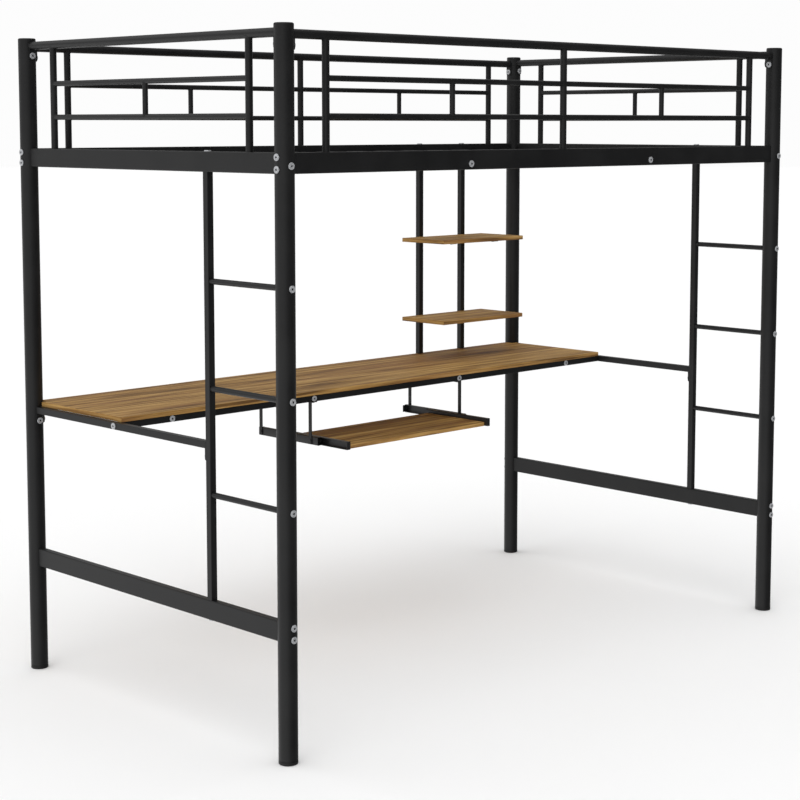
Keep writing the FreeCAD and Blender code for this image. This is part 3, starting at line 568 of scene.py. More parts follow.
def is_upright(one: Vector, two: Vector) -> bool:
    """True for an edge that changes height."""
    return abs(one.z - two.z) > NEAR


def is_level(one: Vector, two: Vector) -> bool:
    """True for an edge that keeps its height."""
    return not is_upright(one, two)


def edges_at(height: float) -> Test:
    """A test for edges that lie at a height."""
    return lambda one, two: max(abs(one.z - height), abs(two.z - height)) < NEAR


def faces_at(height: float, way: int) -> Test:
    """A test for faces at a height that look up, 1, or down, -1."""
    return lambda centre, normal: normal.z * way > SQUARE and abs(centre.z - height) < NEAR


class Bench:
    """The operators that shape one piece by hand."""

    @staticmethod
    def clear() -> None:
        """Leaves nothing selected, in object mode."""
        if bpy.context.object and bpy.context.object.mode != "OBJECT":
            bpy.ops.object.mode_set(mode="OBJECT")
        bpy.ops.object.select_all(action="DESELECT")

    @staticmethod
    def only(piece: bpy.types.Object) -> None:
        """Leaves one piece selected and active.

        Args:
            piece: The piece.
        """
        Bench.clear()
        piece.select_set(True)
        bpy.context.view_layer.objects.active = piece

    @staticmethod
    def settle(name: str) -> bpy.types.Object:
        """Applies the active object's place to its mesh and names it.

        Args:
            name: The object's and its mesh's new name.

        Returns:
            The object, now unturned and unscaled at the origin.
        """
        bpy.ops.object.transform_apply(location=True, rotation=True, scale=True)
        piece = bpy.context.object
        piece.name = name
        piece.data.name = name
        return piece

    def block(self, name: str, low: Iterable[float], high: Iterable[float]) -> bpy.types.Object:
        """Adds a block.

        Args:
            name: The block's name.
            low: Its left, front and bottom corner.
            high: Its right, rear and top corner.

        Returns:
            The block.
        """
        self.clear()
        low, high = Vector(low), Vector(high)
        bpy.ops.mesh.primitive_cube_add(size=1.0, location=(low + high) / 2, scale=high - low)
        return self.settle(name)

    def bar(
        self, name: str, start: Iterable[float], end: Iterable[float], radius: float, sides: int
    ) -> bpy.types.Object:
        """Adds a round bar.

        Args:
            name: The bar's name.
            start: The middle of its one end.
            end: The middle of its other end.
            radius: Its radius.
            sides: How many flat sides make it round.

        Returns:
            The bar.
        """
        self.clear()
        start, end = Vector(start), Vector(end)
        bpy.ops.mesh.primitive_cylinder_add(
            vertices=sides,
            radius=radius,
            depth=(end - start).length,
            location=(start + end) / 2,
            rotation=(end - start).to_track_quat("Z", "Y").to_euler(),
        )
        return self.settle(name)

    @staticmethod
    def pick(piece: bpy.types.Object, kind: Kind, test: Test) -> None:
        """Selects edges or faces and stays in edit mode.

        Args:
            piece: The object to work on.
            kind: Edges, tested by their two ends, or faces, tested by their middle and normal.
            test: Says whether one is wanted.
        """
        bpy.context.view_layer.objects.active = piece
        bpy.ops.object.mode_set(mode="EDIT")
        bpy.ops.mesh.select_mode(type=kind.value)
        bpy.ops.mesh.select_all(action="DESELECT")
        bpy.ops.object.mode_set(mode="OBJECT")
        mesh = piece.data
        if kind is Kind.FACE:
            for face in mesh.polygons:
                face.select = test(face.center, face.normal)
        else:
            for edge in mesh.edges:
                one, two = (mesh.vertices[i].co for i in edge.vertices)
                edge.select = test(one, two)
        bpy.ops.object.mode_set(mode="EDIT")

    def bevel(self, piece: bpy.types.Object, test: Test, rounding: Rounding) -> None:
        """Rounds the edges that pass a test.

        Args:
            piece: The object to work on.
            test: Says whether an edge, given by its two ends, is wanted.
            rounding: How the edges are rounded.
        """
        self.pick(piece, Kind.EDGE, test)
        bpy.ops.mesh.bevel(offset=rounding.width, segments=rounding.steps, affect="EDGES", clamp_overlap=True)
        bpy.ops.object.mode_set(mode="OBJECT")

    def inset(self, piece: bpy.types.Object, test: Test, rings: Sequence[Pair]) -> None:
        """Insets the faces that pass a test, one ring inside another.

        Args:
            piece: The object to work on.
            test: Says whether a face, given by its middle and normal, is wanted.
            rings: Each ring's width and how far it rises, or sinks if negative.
        """
        self.pick(piece, Kind.FACE, test)
        for width, rise in rings:
            bpy.ops.mesh.inset(thickness=width, depth=rise)
        bpy.ops.object.mode_set(mode="OBJECT")

    @staticmethod
    def join(name: str, pieces: Sequence[bpy.types.Object]) -> bpy.types.Object:
        """Joins pieces into one mesh.

        Args:
            name: The whole's name.
            pieces: What is joined, into the first.

        Returns:
            The whole.
        """
        Bench.only(pieces[0])
        for piece in pieces:
            piece.select_set(True)
        bpy.ops.object.join()
        pieces[0].name = name
        pieces[0].data.name = name
        return pieces[0]

    @staticmethod
    def copy(piece: bpy.types.Object, name: str, move: Matrix) -> bpy.types.Object:
        """Copies a piece with its own mesh.

        Args:
            piece: The pattern.
            name: The copy's name.
            move: The turn and shift that its mesh gets.

        Returns:
            The copy.
        """
        twin = bpy.data.objects.new(name, piece.data.copy())
        twin.data.name = name
        twin.data.transform(move)
        bpy.context.scene.collection.objects.link(twin)
        return twin

    @staticmethod
    def discard(piece: bpy.types.Object) -> None:
        """Removes a piece that was only a tool or a pattern."""
        bpy.data.meshes.remove(piece.data)

    @staticmethod
    def smooth(piece: bpy.types.Object, crease: float) -> None:
        """Shades a piece smooth, except over edges sharper than an angle in degrees."""
        Bench.only(piece)
        bpy.ops.object.shade_smooth_by_angle(angle=math.radians(crease))

    @staticmethod
    def apply(piece: bpy.types.Object, kind: str, settings: Mapping[str, object]) -> None:
        """Adds a modifier, sets it and applies it.

        Args:
            piece: The object to work on.
            kind: The modifier's type.
            settings: Its properties.
        """
        Bench.only(piece)
        made = piece.modifiers.new(kind.lower(), kind)
        for key, value in settings.items():
            setattr(made, key, value)
        bpy.ops.object.modifier_apply(modifier=made.name)

    @staticmethod
    def cut(piece: bpy.types.Object, cutter: bpy.types.Object) -> None:
        """Takes a cutter's shape out of a piece and removes the cutter.

        Args:
            piece: The object to work on.
            cutter: The shape that is cut out.
        """
        settings = {"operation": "DIFFERENCE", "object": cutter, "solver": "EXACT"}
        Bench.apply(piece, "BOOLEAN", settings)
        Bench.discard(cutter)


def dress(piece: bpy.types.Object, *materials: bpy.types.Material) -> None:
    """Gives a piece its materials, the first of them all over.

    Args:
        piece: The object to dress.
        materials: Its materials.
    """
    piece.data.materials.clear()
    for material in materials:
        piece.data.materials.append(material)


def hand_over(
    piece: bpy.types.Object, body: str, stands_for: Iterable[str] = ()
) -> None:
    """Lets a finished piece ride on its body and reports it.

    Args:
        piece: The finished piece.
        body: The body it moves with.
        stands_for: Frame nodes that it hides.
    """
    nodes = list(stands_for)
    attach(piece, body)
    if nodes:
        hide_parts(*nodes)
    LOG.info("%s: %d faces on %s", piece.name, len(piece.data.polygons), body)


# ---- boards ---------------------------------------------------------------------------
@dataclass(frozen=True)
class Notch:
    """A cut into a board's rear edge: its two ends along the edge and its front."""

    ends: Pair
    front: float


@dataclass
class Boards:
    """The desktop, the two shelves and the tray board, in laminate with an edging all round."""

    bench: Bench
    finishes: Finishes
    corner: Rounding = Rounding(0.003, 5)
    arris: Rounding = Rounding(0.0009, 2)
    edging: float = 0.0011
    groove: float = 0.00025
    posts: tuple[str, ...] = ("post_rear_left", "post_rear_right")
    post_gap: float = 0.002
    uprights: tuple[str, ...] = ("shelf_upright_left", "shelf_upright_right")
    upright_gap: float = 0.001
    upright_half: float = 0.009
    past_end: float = 0.1
    past_rear: float = 0.05
    past_face: float = 0.01
    end_slope: float = 0.8
    crease: float = 30.0

    def build(self) -> None:
        """Builds every board in place of its frame node."""
        notches = [self.post_notch(post) for post in self.posts]
        notches += [self.upright_notch(upright) for upright in self.uprights]
        self.board("desktop", "frame", notches)
        self.board("shelf_lower", "frame")
        self.board("shelf_upper", "frame")
        self.board("tray_board", "tray")

    def board(self, node: str, body: str, notches: Sequence[Notch] = ()) -> None:
        """Builds one board.

        Args:
            node: The frame node that it stands for.
            body: The body it rides on.
            notches: What is cut out of its rear edge.
        """
        low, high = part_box(node)
        piece = self.bench.block(f"{node}_laminate", low, high)
        self.bench.bevel(piece, is_upright, self.corner)
        self.bench.bevel(piece, is_level, self.arris)
        self.line_edging(piece, low.z, high.z)
        for notch in notches:
            self.cut_notch(piece, low.z, high, notch)
        dress(piece, self.finishes.wood, self.finishes.wood_ends)
        for face in piece.data.polygons:
            face.material_index = int(abs(face.normal.x) > self.end_slope)
        self.bench.smooth(piece, self.crease)
        hand_over(piece, body, [node])

    def line_edging(self, piece: bpy.types.Object, bottom: float, top: float) -> None:
        """Cuts the fine glue line between the edging and the two faces.

        Args:
            piece: The board.
            bottom: The height of its lower face.
            top: The height of its upper face.
        """
        upper, lower = faces_at(top, 1), faces_at(bottom, -1)
        rings = ((self.edging, 0.0), (self.groove, -self.groove), (self.groove, self.groove))
        self.bench.inset(piece, lambda c, n: upper(c, n) or lower(c, n), rings)

    def post_notch(self, post: str) -> Notch:
        """Measures the notch round a corner post, which is open at the board's end.

        Args:
            post: The post's node.

        Returns:
            The notch.
        """
        low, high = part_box(post)
        side = math.copysign(1.0, low.x)
        middle = (low.x + high.x) / 2
        inner = middle - side * (high.x - low.x) / 2 - side * self.post_gap
        left, right = sorted((inner, middle + side * self.past_end))
        return Notch((left, right), low.y - self.post_gap)

    def upright_notch(self, upright: str) -> Notch:
        """Measures the notch round a shelf upright, which stands at the rear of its node.

        Args:
            upright: The upright's node.

        Returns:
            The notch.
        """
        low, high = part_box(upright)
        middle = (low.x + high.x) / 2
        reach = self.upright_half + self.upright_gap
        return Notch((middle - reach, middle + reach), high.y - self.upright_half - reach)

    def cut_notch(self, piece: bpy.types.Object, bottom: float, high: Vector, notch: Notch) -> None:
        """Cuts one notch with rounded corners.

        Args:
            piece: The board.
            bottom: The height of its lower face.
            high: Its right, rear and top corner.
            notch: What is cut out.
        """
        left, right = notch.ends
        start = (left, notch.front, bottom - self.past_face)
        cutter = self.bench.block("notch", start, (right, high.y + self.past_rear, high.z + self.past_face))
        self.bench.bevel(cutter, is_upright, self.corner)
        self.bench.cut(piece, cutter)


# ---- post caps ------------------------------------------------------------------------
@dataclass
class PostCaps:
    """The moulded caps on the tops and feet of the four posts."""

    bench: Bench
    finishes: Finishes
    posts: tuple[str, ...] = ("post_front_left", "post_front_right", "post_rear_left", "post_rear_right")
    sides: int = 96
    dome: Rounding = Rounding(0.0038, 8)
    seam: Rounding = Rounding(0.0003, 2)
    top_rings: tuple[Pair, ...] = ((0.0022, 0.0), (0.0009, -0.0004), (0.0125, 0.0), (0.0004, -0.0003))
    flange: float = 0.008
    flange_rim: Rounding = Rounding(0.0006, 3)
    sole: Rounding = Rounding(0.0014, 4)
    sole_rings: tuple[Pair, ...] = ((0.004, 0.0), (0.001, -0.001))
    neck_inset: float = 0.001
    neck_height: float = 0.001
    crease: float = 40.0

    def centres(self) -> list[Vector]:
        """Finds the posts.

        Returns:
            The middles of the four posts on the floor.
        """
        middles = []
        for post in self.posts:
            low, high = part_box(post)
            middles.append(Vector(((low.x + high.x) / 2, (low.y + high.y) / 2, 0.0)))
        return middles

    def build(self) -> None:
        """Builds one cap of each sort and copies it to every post."""
        low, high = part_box(self.posts[0])
        radius = (high.x - low.x) / 2
        self.set_out(self.top_cap(radius, high.z), "post_top_caps")
        self.set_out(self.foot_cap(radius), "post_foot_caps")

    def set_out(self, pattern: bpy.types.Object, node: str) -> None:
        """Copies a cap to the four posts as one piece.

        Args:
            pattern: The cap, on an axis through the origin.
            node: The frame node that the four caps stand for.
        """
        self.bench.smooth(pattern, self.crease)
        dress(pattern, self.finishes.plastic)
        moves = [Matrix.Translation(centre) for centre in self.centres()]
        copies = [self.bench.copy(pattern, f"cap_{i}", move) for i, move in enumerate(moves)]
        self.bench.discard(pattern)
        piece = self.bench.join(f"{node}_moulded", copies)
        hand_over(piece, "frame", [node])

    def top_cap(self, radius: float, post_top: float) -> bpy.types.Object:
        """Shapes a domed top cap on an axis through the origin.

        Args:
            radius: The post's radius.
            post_top: The height of the post's end.

        Returns:
            The cap, at its own height.
        """
        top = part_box("post_top_caps")[1].z
        cap = self.bench.bar("top_cap", (0, 0, post_top), (0, 0, top), radius, self.sides)
        self.bench.bevel(cap, edges_at(top), self.dome)
        self.bench.bevel(cap, edges_at(post_top), self.seam)
        self.bench.inset(cap, faces_at(top, 1), self.top_rings)
        return cap

    def foot_cap(self, radius: float) -> bpy.types.Object:
        """Shapes a foot cap, whose narrower neck leaves a shadow line under the post.

        Args:
            radius: The post's radius.

        Returns:
            The cap, on an axis through the origin.
        """
        cap = self.bench.bar("foot_cap", (0, 0, 0), (0, 0, self.flange), radius, self.sides)
        self.bench.bevel(cap, edges_at(0.0), self.sole)
        self.bench.bevel(cap, edges_at(self.flange), self.flange_rim)
        self.bench.pick(cap, Kind.FACE, faces_at(self.flange, 1))
        bpy.ops.mesh.inset(thickness=self.neck_inset, depth=0.0)
        bpy.ops.mesh.extrude_region_move(TRANSFORM_OT_translate={"value": (0, 0, self.neck_height)})
        bpy.ops.object.mode_set(mode="OBJECT")
        self.bench.inset(cap, faces_at(0.0, -1), self.sole_rings)
        return cap


# ---- fasteners ------------------------------------------------------------------------
@dataclass(frozen=True)
class BoltPlace:
    """Where one bolt sits: the middle of its seat, the way its head faces and its shank's length."""

    seat: Vector
    outward: Vector
    length: float

    def order(self) -> tuple[float, ...]:
        """What bolts are sorted by, to a hundredth of a millimetre."""
        return tuple(round(value, 5) for value in self.seat)


@dataclass
class Bolts:
    """The flat-headed furniture bolts, each with a rounded rim, a dished face and a key socket."""

    bench: Bench
    finishes: Finishes
    nodes: tuple[str, ...] = ("bed_frame_bolts", "guard_bolts", "upright_and_rung_bolts", "desk_bolts")
    head_radius: float = 0.0085
    head_height: float = 0.0026
    head_sides: int = 40
    rim: Rounding = Rounding(0.0010, 3)
    land: float = 0.0019
    dish_slope: float = 0.0005
    dish_depth: float = 0.0004
    shank_radius: float = 0.003
    shank_sides: int = 16
    socket_width: float = 0.0050
    socket_depth: float = 0.0021
    socket_sides: int = 6
    merge_distance: float = 1e-6
    crease: float = 40.0

    def build(self) -> None:
        """Builds the bolts of every bolt node."""
        pattern = self.pattern()
        for node in self.nodes:
            copies = [self.cut_to_length(pattern, i, place) for i, place in enumerate(self.places(node))]
            piece = self.bench.join(f"{node}_turned", copies)
            hand_over(piece, "frame", [node])
        self.bench.discard(pattern)

    def pattern(self) -> bpy.types.Object:
        """Shapes one bolt at the origin.

        Returns:
            The bolt, with its seat on z = 0, its head above and a shank of unit length below.
        """
        top = self.head_height
        bolt = self.bench.bar("bolt", (0, 0, 0), (0, 0, top), self.head_radius, self.head_sides)
        self.bench.bevel(bolt, edges_at(top), self.rim)
        rings = ((self.land, 0.0), (self.dish_slope, -self.dish_depth))
        self.bench.inset(bolt, faces_at(top, 1), rings)
        corner = self.socket_width / math.sqrt(3)
        floor = (0, 0, top - self.socket_depth)
        self.bench.cut(bolt, self.bench.bar("socket", floor, (0, 0, top * 2), corner, self.socket_sides))
        shank = self.bench.bar("shank", (0, 0, -1.0), (0, 0, 0), self.shank_radius, self.shank_sides)
        bolt = self.bench.join("bolt", [bolt, shank])
        dress(bolt, self.finishes.zinc, self.finishes.socket)
        # Faces inside the key socket take the second, darker zinc, which paints the socket's shade.
        dish = top - self.dish_depth
        for face in bolt.data.polygons:
            centre = Vector(face.center)
            sunk = 0 < centre.z < dish - NEAR
            face.material_index = int(sunk and centre.xy.length < corner + NEAR)
        self.bench.smooth(bolt, self.crease)
        return bolt

    def places(self, node: str) -> list[BoltPlace]:
        """Finds every bolt of a node from a merged copy of its mesh.

        Args:
            node: The bolt node.

        Returns:
            The bolts' places.
        """
        copy = self.bench.copy(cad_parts[node], "bolt_copy", Matrix.Identity(4))
        self.bench.only(copy)
        bpy.ops.object.mode_set(mode="EDIT")
        bpy.ops.mesh.select_all(action="SELECT")
        bpy.ops.mesh.remove_doubles(threshold=self.merge_distance)
        bpy.ops.mesh.separate(type="LOOSE")
        bpy.ops.object.mode_set(mode="OBJECT")
        loose = list(bpy.context.selected_objects)
        places = sorted((self.measure(part) for part in loose), key=BoltPlace.order)
        for part in loose:
            self.bench.discard(part)
        return places

    def measure(self, part: bpy.types.Object) -> BoltPlace:
        """Measures one loose bolt, which lies along an axis.

        Args:
            part: The bolt. Its head is taken as all that is wider than two shanks.

        Returns:
            Its place.
        """
        points = [vertex.co for vertex in part.data.vertices]
        low = Vector(min(p[i] for p in points) for i in range(3))
        high = Vector(max(p[i] for p in points) for i in range(3))
        size = high - low
        along = max(range(3), key=lambda i: size[i])
        across = (along + 1) % 3
        middle = (low + high) / 2
        wide = [p[along] for p in points if abs(p[across] - middle[across]) > self.shank_radius * 2]
        outward = Vector((0, 0, 0))
        outward[along] = 1.0 if sum(wide) / len(wide) > middle[along] else -1.0
        head = high[along] if outward[along] > 0 else low[along]
        seat = middle.copy()
        seat[along] = head - outward[along] * self.head_height
        return BoltPlace(seat, outward, size[along] - self.head_height)

    def cut_to_length(self, pattern: bpy.types.Object, number: int, place: BoltPlace) -> bpy.types.Object:
        """Copies the pattern bolt into its place.

        Args:
            pattern: The bolt at the origin.
            number: The copy's number.
            place: Where it sits, and its shank's length.

        Returns:
            The copy.
        """
        bolt = self.bench.copy(pattern, f"bolt_{number}", Matrix.Identity(4))
        for vertex in bolt.data.vertices:
            if vertex.co.z < -self.head_height:
                vertex.co.z = -place.length
        facing = place.outward.to_track_quat("Z", "Y").to_matrix().to_4x4()
        bolt.data.transform(Matrix.Translation(place.seat) @ facing)
        return bolt


# ---- weld beads -----------------------------------------------------------------------
@dataclass(frozen=True)
class Joint:
    """Where a smaller tube leaves a larger one.

    It holds the point where their middles cross, the way that the smaller tube leaves, the larger
    tube's direction and the two radii.
    """

    point: Vector
    out: Vector
    main: Vector
    small: float
    large: float


@dataclass
class Welds:
    """The beads where the guard rails' uprights and bars meet."""

    bench: Bench
    finishes: Finishes
    bead: float = 0.0015
    bead_sides: int = 8
    ripples: int = 18
    points_per_ripple: int = 3
    swell: float = 0.14
    deepest: float = 0.55
    top_radius: float = 0.011
    upright_radius: float = 0.009
    bar_radius: float = 0.007
    side_uprights: tuple[float, ...] = (-0.841, 0.0, 0.841)
    end_uprights: tuple[float, ...] = (-0.402, 0.402)
    levels: Pair = (1.5115, 1.599)
    crease: float = 60.0

    def build(self) -> None:
        """Builds the beads of the four guards."""
        for name in ("front", "rear"):
            self.guard(name, Vector((1, 0, 0)), self.side_uprights)
        for name in ("left", "right"):
            self.guard(name, Vector((0, 1, 0)), self.end_uprights)

    def guard(self, name: str, along: Vector, uprights: Sequence[float]) -> None:
        """Builds the beads of one guard as one piece.

        Args:
            name: The side of the bed that the guard is on.
            along: The way that it runs.
            uprights: The places of its uprights on that way.
        """
        low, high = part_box(f"guard_{name}")
        joints = self.joints((low + high) / 2, along, uprights, high.z - self.top_radius)
        beads = [self.ring(f"bead_{i}", joint) for i, joint in enumerate(joints)]
        piece = self.bench.join(f"guard_{name}_welds", beads)
        self.bench.smooth(piece, self.crease)
        dress(piece, self.finishes.coat)
        hand_over(piece, "frame")

    def joints(
        self, middle: Vector, along: Vector, uprights: Sequence[float], top: float
    ) -> list[Joint]:
        """Lists a guard's joints.

        Args:
            middle: The guard's middle.
            along: The way that it runs.
            uprights: The places of its uprights on that way.
            top: The height of the top tube's middle.

        Returns:
            The uprights' joints with the top tube, then those of the bars between two uprights.
        """
        start = middle - along * middle.dot(along)

        def spot(place: float, height: float) -> Vector:
            """The point at a place along the guard and at a height."""
            point = start + along * place
            return Vector((point.x, point.y, height))

        up = Vector((0, 0, 1))
        bar, thick = self.bar_radius, self.upright_radius
        found = [Joint(spot(place, top), -up, along, thick, self.top_radius) for place in uprights]
        for one, two in zip(uprights, uprights[1:]):
            for height in self.levels:
                found.append(Joint(spot(one, height), along, up, bar, thick))
                found.append(Joint(spot(two, height), -along, up, bar, thick))
            for height, out in zip(self.levels, (up, -up)):
                found.append(Joint(spot((one + two) / 2, height), out, along, bar, bar))
        return found

    def ring(self, name: str, joint: Joint) -> bpy.types.Object:
        """Makes one rippled bead, saddled onto the larger tube.

        Args:
            name: The bead's name.
            joint: The joint that it runs round.

        Returns:
            The bead in its place.
        """
        small, large = joint.small, joint.large
        self.bench.clear()
        bpy.ops.mesh.primitive_torus_add(
            major_radius=small,
            minor_radius=self.bead,
            major_segments=self.ripples * self.points_per_ripple,
            minor_segments=self.bead_sides,
        )
        piece = self.bench.settle(name)
        for vertex in piece.data.vertices:
            spin = math.atan2(vertex.co.y, vertex.co.x)
            ring = Vector((math.cos(spin) * small, math.sin(spin) * small, 0.0))
            swell = 1.0 + self.swell * math.cos(self.ripples * spin)
            vertex.co = ring + (vertex.co - ring) * swell
            sink = large - math.sqrt(max(large * large - vertex.co.y**2, 0.0))
            vertex.co.z -= min(sink, large * self.deepest)
        side = joint.out.cross(joint.main)
        turn = Matrix((joint.main, side, joint.out)).transposed().to_4x4()
        piece.data.transform(Matrix.Translation(joint.point + joint.out * large) @ turn)
        return piece


# ---- drawer slides --------------------------------------------------------------------
@dataclass(frozen=True)
class Section:
    """The room that one channel fills.

    It holds the nearer and farther X from the middle, the front and rear Y, and the bottom and top Z.
    """

    across: Pair
    along: Pair
    height: Pair


@dataclass
class Slides:
    """The two pairs of rolled steel channels that carry the keyboard tray."""

    bench: Bench
    finishes: Finishes
    steel: float = 0.0015
    bend: Rounding = Rounding(0.0022, 4)
    fixed_room: Section = Section((0.2935, 0.304), (0.112, 0.370), (0.589, 0.613))
    moving_room: Section = Section((0.279, 0.292), (0.0025, 0.261), (0.5895, 0.6125))
    stub_radius: float = 0.0025
    stub_sides: int = 24
    stub_rim: Rounding = Rounding(0.0004, 2)
    fixed_stub: Pair = (0.124, 0.6017)
    moving_stub: Pair = (0.249, 0.5998)
    moving_web: float = 0.2805
    moving_stub_end: float = 0.3015
    stop_reach: float = 0.0040
    stop_rim: Rounding = Rounding(0.0003, 2)
    crease: float = 40.0

    def build(self) -> None:
        """Builds both channels on both sides."""
        for side, name in ((-1, "left"), (1, "right")):
            self.fixed(side, name)
            self.moving(side, name)

    def fixed(self, side: int, name: str) -> None:
        """Builds an outer channel, open towards the tray, with its roller stub and rear stop.

        Args:
            side: -1 on the left, 1 on the right.
            name: The side's name.
        """
        room = self.fixed_room
        web = side * room.across[1] - side * self.steel
        channel = self.channel("fixed", side, room, open_in=True)
        stub = self.stub(web, side * self.moving_web, self.fixed_stub)
        left, right = sorted((web, side * (self.moving_web + self.stop_reach)))
        low = (left, room.along[1] - self.steel, room.height[0] + self.steel)
        stop = self.bench.block("stop", low, (right, room.along[1], room.height[1] - self.steel))
        self.bench.bevel(stop, lambda one, two: True, self.stop_rim)
        self.finish([channel, stub, stop], f"fixed_channel_{name}", "frame")

    def moving(self, side: int, name: str) -> None:
        """Builds an inner channel, open away from the tray and closed in front, with its stub.

        Args:
            side: -1 on the left, 1 on the right.
            name: The side's name.
        """
        channel = self.channel("moving", side, self.moving_room, open_in=False)
        stub = self.stub(side * self.moving_web, side * self.moving_stub_end, self.moving_stub)
        self.finish([channel, stub], f"moving_channel_{name}", "tray")

    def finish(self, parts: Sequence[bpy.types.Object], node: str, body: str) -> None:
        """Joins a channel's parts and hands them over.

        Args:
            parts: The channel and what is fixed to it.
            node: The frame node that they stand for.
            body: The body they ride on.
        """
        piece = self.bench.join(f"{node}_rolled", parts)
        self.bench.smooth(piece, self.crease)
        dress(piece, self.finishes.slide)
        hand_over(piece, body, [node])

    def stub(self, start_x: float, end_x: float, place: Pair) -> bpy.types.Object:
        """Shapes the stub that a roller turns on.

        Args:
            start_x: The X of the end on the channel's web.
            end_x: The X of the free end, which is rounded.
            place: The Y and Z of its middle.

        Returns:
            The stub.
        """
        stub = self.bench.bar("stub", (start_x, *place), (end_x, *place), self.stub_radius, self.stub_sides)
        self.bench.bevel(
            stub, lambda one, two: max(abs(one.x - end_x), abs(two.x - end_x)) < NEAR, self.stub_rim
        )
        return stub

    def channel(self, name: str, side: int, room: Section, open_in: bool) -> bpy.types.Object:
        """Rolls one channel from a block.

        Args:
            name: The channel's name.
            side: -1 on the left, 1 on the right.
            room: The room that it fills.
            open_in: True if it is open towards the tray, and False if away from it.

        Returns:
            The channel, with its wall inside the block.
        """
        near, far = (side * x for x in room.across)
        gap_x, web_x = (near, far) if open_in else (far, near)
        front, rear = room.along
        bottom, top = room.height
        piece = self.bench.block(name, (min(near, far), front, bottom), (max(near, far), rear, top))

        def is_open(centre: Vector, normal: Vector) -> bool:
            """True for a side of the block that the channel doesn't have."""
            closed_front = abs(centre.y - front) < NEAR and not open_in
            return abs(centre.x - gap_x) < NEAR or (abs(normal.y) > SQUARE and not closed_front)

        def is_bend(one: Vector, two: Vector) -> bool:
            """True for a long edge of the web."""
            return abs(one.y - two.y) > NEAR and abs(one.x - web_x) < NEAR

        self.bench.pick(piece, Kind.FACE, is_open)
        bpy.ops.mesh.delete(type="FACE")
        bpy.ops.object.mode_set(mode="OBJECT")
        self.bench.bevel(piece, is_bend, self.bend)
        inward = {"thickness": self.steel, "offset": -1.0, "use_even_offset": True}
        self.bench.apply(piece, "SOLIDIFY", inward)
        return piece


# ---- studio ---------------------------------------------------------------------------
@dataclass(frozen=True)
class Lamp:
    """One far soft lamp that points at the bed, with its spread in degrees and its power."""

    name: str
    place: Triple
    spread: float
    power: float

    def hang(self) -> None:
        """Adds the lamp."""
        data = bpy.data.lights.new(self.name, "SUN")
        data.angle = math.radians(self.spread)
        data.energy = self.power
        lamp = bpy.data.objects.new(self.name, data)
        lamp.location = self.place
        lamp.rotation_euler = Vector(self.place).to_track_quat("Z", "Y").to_euler()
        bpy.context.scene.collection.objects.link(lamp)


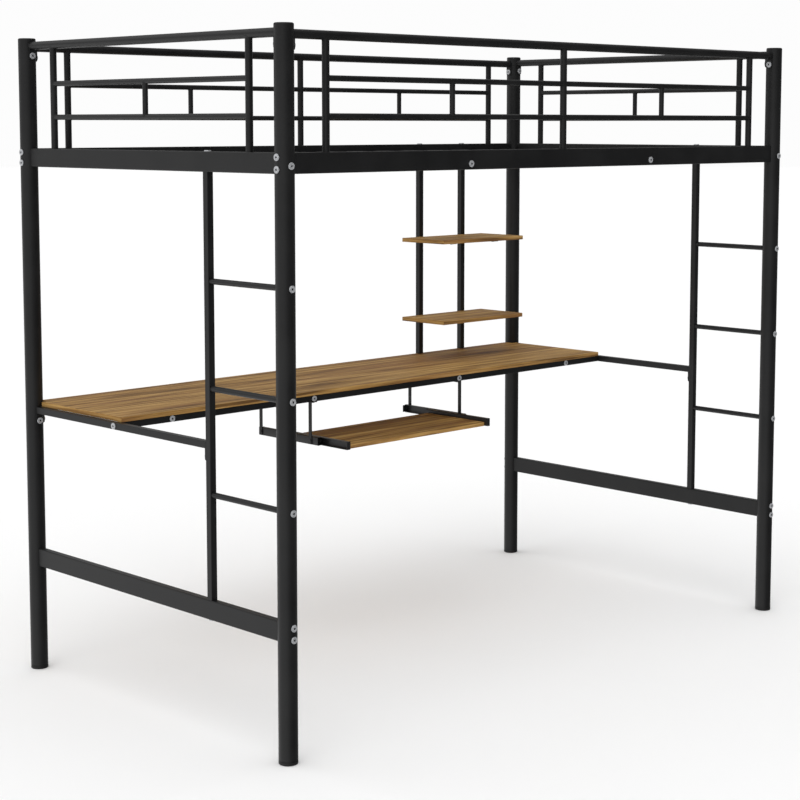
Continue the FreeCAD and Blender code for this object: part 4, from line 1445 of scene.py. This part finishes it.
@dataclass
class Studio:
    """The floor, the light and the camera, with angles in degrees."""

    floor_radius: float = 60.0
    floor_sides: int = 96
    floor_drop: float = 0.0005
    backdrop: Colour = (0.98, 0.98, 0.98)
    soft_light: Colour = (0.95, 0.95, 0.95)
    mirrored_light: Colour = (1.0, 1.0, 1.0)
    bright_side: Triple = (-0.68, 0.68, 0.28)
    side_span: Pair = (-0.95, 0.25)
    side_levels: Pair = (0.11, 0.75)
    height_span: Pair = (-0.35, 0.20)
    height_levels: Pair = (1.22, 0.58)
    lamps: tuple[Lamp, ...] = (
        Lamp("key_light", (-2.0, -1.2, 4.0), 40.0, 0.60),
        Lamp("back_light", (-1.5, 2.5, 2.2), 50.0, 0.25),
    )
    camera_place: Triple = (-3.6324, -3.6341, 1.4914)
    camera_turn: float = 44.280
    camera_tilt: float = -5.825
    lens: float = 80.756
    sensor_width: float = 36.0
    frame_shift: float = -0.115
    farthest: float = 200.0

    def build(self) -> None:
        """Sets up the whole studio."""
        self.floor()
        self.world()
        for lamp in self.lamps:
            lamp.hang()
        self.camera()

    def floor(self) -> None:
        """Lays the floor just under the bed's feet."""
        Bench.clear()
        drop = (0, 0, -self.floor_drop)
        bpy.ops.mesh.primitive_circle_add(
            vertices=self.floor_sides, radius=self.floor_radius, fill_type="NGON", location=drop
        )
        ground = Bench.settle("studio_floor")
        ground.visible_glossy = False
        dress(ground, StudioFloor().make())

    def world(self) -> None:
        """Surrounds the bed with even soft light.

        Its reflection is brightest below and at the left rear, and fades upwards and to the right front.
        """
        world = bpy.data.worlds.new("studio")
        world.use_nodes = True
        bpy.context.scene.world = world
        graph = Graph(world.node_tree)

        def background(colour: Colour, strength: Wire | float = 1.0) -> Wire:
            """Light of one colour from all round."""
            return graph.node("ShaderNodeBackground", None, {"Color": (*colour, 1.0), "Strength": strength})

        aim = graph.node("ShaderNodeTexCoord", output="Generated")
        height = graph.node("ShaderNodeSeparateXYZ", None, {0: aim}, "Z")
        dot = {"operation": "DOT_PRODUCT"}
        toward = graph.node("ShaderNodeVectorMath", dot, {0: aim, 1: self.bright_side}, "Value")
        by_side = graph.ease(toward, self.side_span, self.side_levels)
        by_height = graph.ease(height, self.height_span, self.height_levels)
        mirrored = background(self.mirrored_light, by_side * by_height)
        glossy = graph.node("ShaderNodeLightPath", output="Is Glossy Ray")
        straight = graph.node("ShaderNodeLightPath", output="Is Camera Ray")
        even = background(self.soft_light)
        seen = background(self.backdrop)
        light = graph.node("ShaderNodeMixShader", None, {0: glossy, 1: even, 2: mirrored})
        both = graph.node("ShaderNodeMixShader", None, {0: straight, 1: light, 2: seen})
        graph.node("ShaderNodeOutputWorld", None, {"Surface": both})

    def camera(self) -> None:
        """Stands the camera at the left front, above the desk and looking a little down."""
        data = bpy.data.cameras.new("camera")
        data.sensor_width = self.sensor_width
        data.lens = self.lens
        data.shift_y = self.frame_shift
        data.clip_end = self.farthest
        camera = bpy.data.objects.new("camera", data)
        camera.location = self.camera_place
        camera.rotation_euler = (math.radians(90 + self.camera_tilt), 0.0, math.radians(-self.camera_turn))
        bpy.context.scene.collection.objects.link(camera)
        bpy.context.scene.camera = camera
        bpy.context.scene.view_settings.view_transform = "Standard"


# ---- frame ----------------------------------------------------------------------------
def dress_frame(finishes: Finishes) -> None:
    """Gives every frame node the finish of its slot.

    Args:
        finishes: The finishes to choose from.
    """
    by_slot = {
        "frame_paint": finishes.coat,
        "wood_laminate": finishes.wood,
        "zinc_bolt": finishes.zinc,
        "black_screw": finishes.slide,
        "cap_plastic": finishes.plastic,
        "slide_steel": finishes.slide,
    }
    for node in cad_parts.values():
        for slot in node.material_slots:
            key = next(key for key in by_slot if slot.material.name.startswith(key))
            slot.material = by_slot[key]


def main() -> None:
    """Builds the dressed bed and its studio."""
    logging.basicConfig(level=logging.INFO, format="%(name)s: %(message)s")
    bench = Bench()
    finishes = Finishes.make()
    dress_frame(finishes)
    Boards(bench, finishes).build()
    PostCaps(bench, finishes).build()
    Bolts(bench, finishes).build()
    Welds(bench, finishes).build()
    Slides(bench, finishes).build()
    Studio().build()
    bench.clear()
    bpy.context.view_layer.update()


if __name__ == "__main__":
    main()
